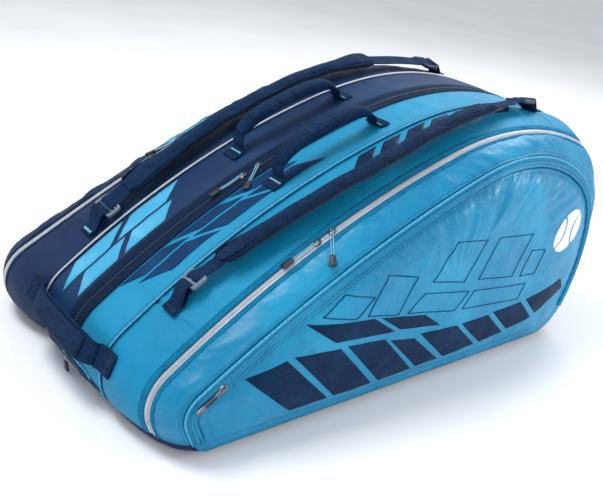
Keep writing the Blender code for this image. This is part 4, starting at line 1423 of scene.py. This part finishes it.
def strap_end(side, sign, end, x, turn):
    """The sewn webbing that comes up off the gusset and folds round the end bar of the lock or buckle."""
    size = LOCK_SIZE if end == "narrow" else BUCKLE_SIZE
    bar = x + turn * (size[0] / 2 - BUCKLE_RIM / 2)
    root_x = x + turn * (ANCHOR_GAP + ANCHOR_LENGTH)

    def layer(shares, low, high):
        """Frames of one layer, at shares of the way from its sewn end to the bar."""
        found = []
        for u in shares:
            rise = ease((u - 0.30) / 0.65)
            height = ANCHOR_LIFT + low + (BUCKLE_LIFT + high - ANCHOR_LIFT) * rise
            found.append(strap_frame(side, sign, root_x + (bar - root_x) * u, height, STRAP_BANK * rise))
        return found

    frames = layer(np.linspace(0, 1, 26), 0.0012, 0.0032)
    centre, across, up = strap_frame(side, sign, bar, BUCKLE_LIFT)
    inward = np.cross(across, up)
    inward = inward * -np.sign(inward[0] * turn)
    for angle in np.linspace(0.15, 0.95, 8) * math.pi:
        out = up * math.cos(angle) + inward * math.sin(angle)
        frames.append((centre + out * 0.0040, across, out))
    frames += [(p, a, -n) for p, a, n in layer(np.linspace(0.88, 0.45, 12), -0.0014, -0.0034)]
    band = flat_band(f"{side}_strap_{end}_webbing", frames, *WEBBING, "webbing", "root")
    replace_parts(band, f"{side}_strap_{end}_anchor")
    lines = [sewn_along(frames[1:7], by, 0.0012) for by in (-0.009, 0.009)]
    stitches(f"{side}_strap_{end}_stitching", lines, "stitch_navy", "root")
    look = "stitch_pale" if side == "far" else "stitch_navy"
    bartack(f"{side}_strap_{end}_bartack", [sewn_across(frames[4], 0.010, 0.0010, 16)], look, "root")


def cushion(side, sign, body):
    """The strap's padded part, with near-black mesh beneath, dark partly in its own colour and partly as
    painted shade under the strap, sewn near its edges and bound along them.
    """
    share = np.linspace(0, 1, 64)
    frames = []
    for u in share:
        x = STRAP_PAD_X[0] + (STRAP_PAD_X[1] - STRAP_PAD_X[0]) * u
        settled = float(ease(min(u, 1 - u) / 0.22))
        bank = STRAP_BANK + (CUSHION_BANK[side] - STRAP_BANK) * settled
        height = STRAP_LIFT + STRAP_ARCH * math.sin(math.pi * u) - CUSHION_DROP[side] * settled
        height += 0.0012 * settled * math.sin(31 * u) * math.sin(12 * u)
        frames.append(strap_frame(side, sign, x, height, bank))
    full = 6 * np.minimum(share, 1 - share)
    widths = CUSHION_SIZE[0] * np.minimum(1, 0.72 + full)
    heights = CUSHION_SIZE[1] * np.minimum(1, 0.5 + full)
    sections = [round_section(w, h, 24, 0.6) for w, h in zip(widths, heights)]
    pad = rings_piece(f"{side}_strap_cushion", sweep_rings(frames, sections), "webbing", body)
    inflate(pad, 0.0038)
    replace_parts(pad, f"{side}_strap_pad")
    # The near-black mesh underside is partly painted shade beneath the strap.
    lowered = [(p - up * 0.0034, across, up) for p, across, up in frames[2:-2]]
    flat_band(f"{side}_strap_underside", lowered, widths[2:-2] * 0.94, 0.0050, "strap_mesh", body)
    tree = surface_tree(pad)
    down = (0, 0, -1)
    lines = []
    for way in (-1, 1):
        line = [p + across * way * (w / 2 - 0.0042) for (p, across, _), w in zip(frames[3:-3], widths[3:-3])]
        lines.append(dropped(tree, line, down))
    p, across, _ = frames[4]
    lines.append(dropped(tree, [p + across * w for w in np.linspace(-0.012, 0.012, 12)], down))
    stitches(f"{side}_strap_stitching", [line for line in lines if len(line[0]) > 3], "stitch_navy", body)
    edging = round_section(0.0030, 0.0052, 12, 0.7)
    for name, way in (("outer", 1), ("inner", -1)):
        run = []
        for (p, across, up), w in zip(frames[1:-1], widths[1:-1]):
            run.append((p + across * way * (w / 2 + 0.0004), across, up))
        rings_piece(f"{side}_strap_{name}_binding", sweep_rings(run, [edging] * len(run)), "dark_tape", body)


def strap(side, sign):
    """A shoulder strap: its cushion, ladder lock, head buckle, and the webbing through them."""
    body = f"{side}_strap"
    buckle_x = STRAP_BUCKLE_X[side]
    cushion(side, sign, body)
    for node, x, size, look, bars in (
        (f"{side}_ladder_lock", STRAP_LOCK_X, LOCK_SIZE, "buckle", (-0.0015, 0.0045)),
        (f"{side}_head_buckle", buckle_x, BUCKLE_SIZE, "dark_buckle", (0.0,)),
    ):
        spot, across, up = strap_frame(side, sign, x, BUCKLE_LIFT)
        place = Place(spot, np.cross(across, up), up)
        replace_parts(hoop(f"{node}_moulding", place, size, look, body, bars), node)

    def over(x, bar, height, reach):
        """How far webbing rides up over a bar."""
        return height * math.exp(-(((x - bar) / reach) ** 2))

    first, last = STRAP_LOCK_X - 0.0015, STRAP_PAD_X[0] + 0.018
    tail = []
    for u in np.linspace(0, 1, 22):
        x = first + (last - first) * u
        height = BUCKLE_LIFT + 0.0002 + over(x, STRAP_LOCK_X + 0.003, 0.0036, 0.006) + 0.002 * ease(u)
        tail.append(strap_frame(side, sign, x, height))
    flat_band(f"{side}_strap_lock_webbing", tail, *WEBBING, "webbing", body)
    first, last = STRAP_PAD_X[1] - 0.018, buckle_x + 0.001
    lead = []
    for u in np.linspace(0, 1, 34):
        x = first + (last - first) * u
        bars = over(x, buckle_x - 0.001, 0.0038, 0.006) + over(x, buckle_x - 0.0128, 0.0030, 0.005)
        lead.append(strap_frame(side, sign, x, BUCKLE_LIFT + bars + 0.002 * (1 - ease(u * 3))))
    flat_band(f"{side}_strap_buckle_webbing", lead, *WEBBING, "webbing", body)
    strap_end(side, sign, "narrow", STRAP_LOCK_X, -1)
    strap_end(side, sign, "head", buckle_x, 1)


# ---------------------------------------------------------------- end pocket and the inside

DOOR_ZIP_STATION = 6.8
QUILT_PITCH = 0.085


def end_pocket():
    """The bulging door at the narrow end, with its arched zip, piping, slider and pull."""
    edge = SEAM_Y - PIPING_R - 0.0009
    y = np.linspace(-edge, edge, 38)
    s = stations(END_POCKET_TOP, NOSE_FOOT, 0.004)
    cloth = Cloth(skin(s, y, np.zeros(38)))
    share = 1 - abs(y / edge)
    cloth.push(0.0042 * ease(share / 0.45)[None] + 0 * cloth.along[:, None])
    puff(cloth, 0.0035, 0.0012, 61, 0.4)
    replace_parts(cloth_piece("end_pocket_door_cloth", cloth, "teal_gloss", "end_pocket"), "end_pocket_door")
    middle = cloth.across[-1] / 2
    zip_along = float(np.interp(DOOR_ZIP_STATION, s, cloth.along))
    way = np.linspace(-1, 1, 260)
    across = middle + way * (middle - 0.012)
    drop = (cloth.along[-1] - zip_along - 0.010) * abs(way) ** 7
    line = cloth.at(zip_along + drop, across, 0.0006)
    for name, reach, phase in (("upper", 0.7, 0.25), ("lower", -0.7, 0.75)):
        row = f"end_pocket_teeth_{name}"
        tooth_row(row, line, reach, phase, "centre_zip", "end_pocket", 0.9, TOOTH_PITCH * 0.9)
    for name, shift, look in (("upper", -0.0062, "cyan_piping"), ("lower", 0.0062, "navy_piping")):
        along = np.clip(zip_along + drop + shift, 0.002, cloth.along[-1] - 0.002)
        beside = np.clip(across + shift * way * abs(way) ** 6, 0.003, 2 * middle - 0.003)
        tube(f"end_pocket_{name}_piping", cloth.at(along, beside, 0.0006)[0], 0.0013, look, "end_pocket", 8)
    spot, travel, normal = heading_at(DOOR_ZIP_STATION, 0, 0, -0.0048)
    slider = slider_piece("end_pocket_slider_cast", Place(spot, (0, 1, 0), normal), "end_pocket")
    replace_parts(slider, "end_pocket_slider")
    place = Place(spot + normal * SLIDER_BRIDGE_Z, -travel, normal)
    tab = cord_pull_piece("end_pocket_pull_cord", place, PULL_LENGTH["end"], "end_pocket_pull")
    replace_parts(tab, "end_pocket_pull")


def dividers():
    """Quilted walls between the compartments."""
    edge = skin(stations(0, ROUND, 0.008)[:-1], 0, 0, 0.0068)[:, 0][:, [0, 2]]
    scales = np.linspace(1, 0.05, 34)
    quilt = math.tau / QUILT_PITCH
    for side, sign in SIDES:
        points = []
        for scale in scales:
            x, z = (POCKET_MIDDLE + (edge - POCKET_MIDDLE) * scale).T
            swell = 0.0004 * abs(np.sin(quilt * (x + z) / 2) * np.sin(quilt * (x - z) / 2)) ** 0.5
            points.append(np.stack([x, sign * SEAM_Y + sign * swell, z], axis=-1))
        points.append(points[-1].mean(axis=0)[None])
        faces = bowl_faces(len(scales), len(edge))
        made = piece(f"{side}_divider_quilt", np.concatenate(points), faces, "lining", "root")
        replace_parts(thicken(made, 0.0018, 0.0), f"{side}_divider")


# ---------------------------------------------------------------- prints


def leaning_bar(left, low, width, height, lean):
    """A parallelogram that leans over to the side of larger a."""
    right, top = left + width, low + height
    return [(left, low), (right, low), (right + lean, top), (left + lean, top)]


BALL = (0.262, 0.188)
BALL_R = 0.031
BALL_SEAM = 0.0032


def ball_mark():
    """A plain ball with two curved seams, in thin slices."""
    levels = np.linspace(-0.995, 0.995, 25) * BALL_R
    shapes = []
    for low, high in zip(levels[:-1], levels[1:]):

        def bounds_at(z):
            half = math.sqrt(BALL_R**2 - z * z)
            seam = min(half, BALL_R * (0.30 + 0.62 * (z / BALL_R) ** 2))
            return half, seam

        (half0, seam0), (half1, seam1) = bounds_at(low), bounds_at(high)
        tilt0, tilt1 = 0.25 * low, 0.25 * high
        middle0, middle1 = seam0 - BALL_SEAM / 2, seam1 - BALL_SEAM / 2
        spans = [((-middle0, middle0), (-middle1, middle1))]
        outer0, outer1 = seam0 + BALL_SEAM / 2, seam1 + BALL_SEAM / 2
        if outer0 < half0 and outer1 < half1:
            spans.append(((outer0, half0), (outer1, half1)))
            spans.append(((-half0, -outer0), (-half1, -outer1)))
        for (a0, b0), (a1, b1) in spans:
            quad = [(a0 + tilt0, low), (b0 + tilt0, low), (b1 + tilt1, high), (a1 + tilt1, high)]
            shapes.append([(BALL[0] + a, BALL[1] + b) for a, b in quad])
    return shapes


PRINT_CUT = 0.0036

# Corners (x, z) of the shapes printed on the side pockets: slanted facets, and ones drawn in outline.
FACETS = (
    ((-0.272, 0.096), (-0.206, 0.036), (-0.150, 0.036), (-0.222, 0.108)),
    ((-0.212, 0.110), (-0.140, 0.036), (-0.080, 0.036), (-0.146, 0.105)),
    ((-0.136, 0.106), (-0.068, 0.036), (-0.010, 0.036), (-0.076, 0.100)),
    ((-0.066, 0.096), (0.000, 0.036), (0.040, 0.037), (-0.020, 0.086)),
    ((-0.010, 0.090), (0.050, 0.038), (0.110, 0.042), (0.058, 0.086)),
    ((0.068, 0.086), (0.120, 0.043), (0.166, 0.048), (0.122, 0.086)),
    ((0.132, 0.088), (0.176, 0.050), (0.226, 0.058), (0.192, 0.090)),
    ((0.202, 0.092), (0.236, 0.062), (0.300, 0.088), (0.284, 0.106)),
    ((-0.196, 0.144), (-0.156, 0.116), (-0.062, 0.108), (-0.100, 0.134)),
    ((-0.088, 0.132), (-0.052, 0.108), (0.022, 0.096), (-0.010, 0.118)),
)
OUTLINED = (
    ((-0.176, 0.150), (-0.130, 0.140), (-0.104, 0.162), (-0.146, 0.172)),
    ((-0.112, 0.140), (-0.060, 0.130), (-0.038, 0.176), (-0.086, 0.186)),
    ((-0.044, 0.128), (0.044, 0.112), (0.064, 0.136), (-0.020, 0.150)),
    ((-0.010, 0.164), (0.050, 0.152), (0.078, 0.206), (0.022, 0.212)),
    ((0.060, 0.110), (0.180, 0.098), (0.190, 0.120), (0.076, 0.134)),
    ((0.078, 0.150), (0.150, 0.140), (0.176, 0.198), (0.104, 0.204)),
    ((0.170, 0.136), (0.206, 0.132), (0.214, 0.168), (0.184, 0.172)),
)
LINE_WIDTH = 0.0011


def outline_strips(corners):
    """The edges of a shape as thin strips."""
    corners = [np.array(c) for c in corners]
    strips = []
    for a, b in zip(corners, corners[1:] + corners[:1]):
        along = unit(b - a)
        side = np.array([-along[1], along[0]]) * LINE_WIDTH / 2
        a, b = a - along * LINE_WIDTH / 2, b + along * LINE_WIDTH / 2
        strips.append((a - side, b - side, b + side, a + side))
    return strips


def side_prints(fronts):
    """Navy facets low on the near pocket, thin outlined ones above them and a plain ball mark."""
    cuts = (np.arange(-0.4, 0.4, PRINT_CUT), np.arange(0, 0.36, PRINT_CUT))
    front = fronts["near"]
    applique("near_pocket_facets", FACETS, front.surface, cuts, "print_navy", "near_pocket")
    outlines = [strip for corners in OUTLINED for strip in outline_strips(corners)]
    applique("near_pocket_outlines", outlines, front.surface, cuts, "print_line", "near_pocket")
    applique("near_pocket_ball", ball_mark(), front.surface, cuts, "print_white", "near_pocket")
    applique("far_pocket_facets", FACETS, fronts["far"].surface, cuts, "print_slate", "far_pocket")


# Rows of bars on each gusset: first and last x, how many, the shares of the width between which they stand,
# how much of a step each fills, and its lean.
BAR_ROWS = {
    "near_middle_bars": (
        (-0.070, -0.290, 3, 0.30, 0.62, 0.86, 0.46),
        (-0.096, -0.316, 3, 0.68, 0.94, 0.80, 0.36),
    ),
    "near_inner_bars": ((0.235, -0.055, 7, 0.10, 0.44, 0.70, 0.85),),
    "far_middle_bars": (
        (-0.200, -0.352, 2, 0.10, 0.50, 0.86, 0.40),
        (-0.224, -0.350, 2, 0.56, 0.92, 0.84, 0.36),
    ),
    "far_outer_streaks": (
        (0.040, -0.150, 7, 0.16, 0.30, 0.80, 0.50),
        (0.020, -0.160, 5, 0.36, 0.44, 0.66, 0.50),
    ),
}


def gusset_prints(inner, middle, outer):
    """Leaning bars along the gussets, darker on the teal ones and paler on the navy ones."""

    def bars(cloth, first_x, last_x, count, low, high, fill, lean):
        first, last = cloth.along_at(first_x), cloth.along_at(last_x)
        step = (last - first) / count
        wide = cloth.across[-1]
        size = (step * fill, wide * (high - low))
        return [leaning_bar(first + step * k, wide * low, *size, step * lean) for k in range(count)]

    def put(name, cloth, rows, look, body):
        shapes = [shape for row in rows for shape in bars(cloth, *row)]
        applique(name, shapes, cloth.at, (cloth.along, cloth.across), look, body)

    for name, cloth, look, body in (
        ("near_middle_bars", middle["near"], "print_slate", "root"),
        ("near_inner_bars", inner["near"], "print_navy", "root"),
        ("far_middle_bars", middle["far"], "print_pale", "root"),
        ("far_outer_streaks", outer["far"], "print_pale", "far_cover"),
    ):
        put(name, cloth, BAR_ROWS[name], look, body)


# ---------------------------------------------------------------- the whole bag

camera()
stage()
base()
inner, middle, outer, fronts = {}, {}, {}, {}
GUSSET_LOOKS = {
    "near": ("teal_smooth", "teal_smooth", "cyan_piping", "zip_tape"),
    "far": ("navy_fabric", "slate_fabric", "silver_piping", "dark_tape"),
}
COVER_LOOKS = {
    "near": ("teal_gloss", "teal_gloss", "cyan_piping", "zip_tape"),
    "far": ("navy_fabric", "navy_fabric", "navy_piping", "dark_tape"),
}
for number, (side, sign) in enumerate(SIDES):
    inner[side], middle[side] = gussets(side, sign, GUSSET_LOOKS[side], 10 + 40 * number)
    outer[side], fronts[side] = cover(side, sign, COVER_LOOKS[side], 25 + 40 * number)
    side_zip(side, sign)
centre_zip()
all_sliders()
end_pocket()
dividers()
for side, sign in SIDES:
    handle(side, sign)
    strap(side, sign)
end_handle()
side_prints(fronts)
gusset_prints(inner, middle, outer)
for node, look in (("base_board", "stiffener"), ("end_pocket_liner", "lining")):
    obj = frame["nodes"][node]
    obj.data.materials.clear()
    obj.data.materials.append(LOOKS[look])
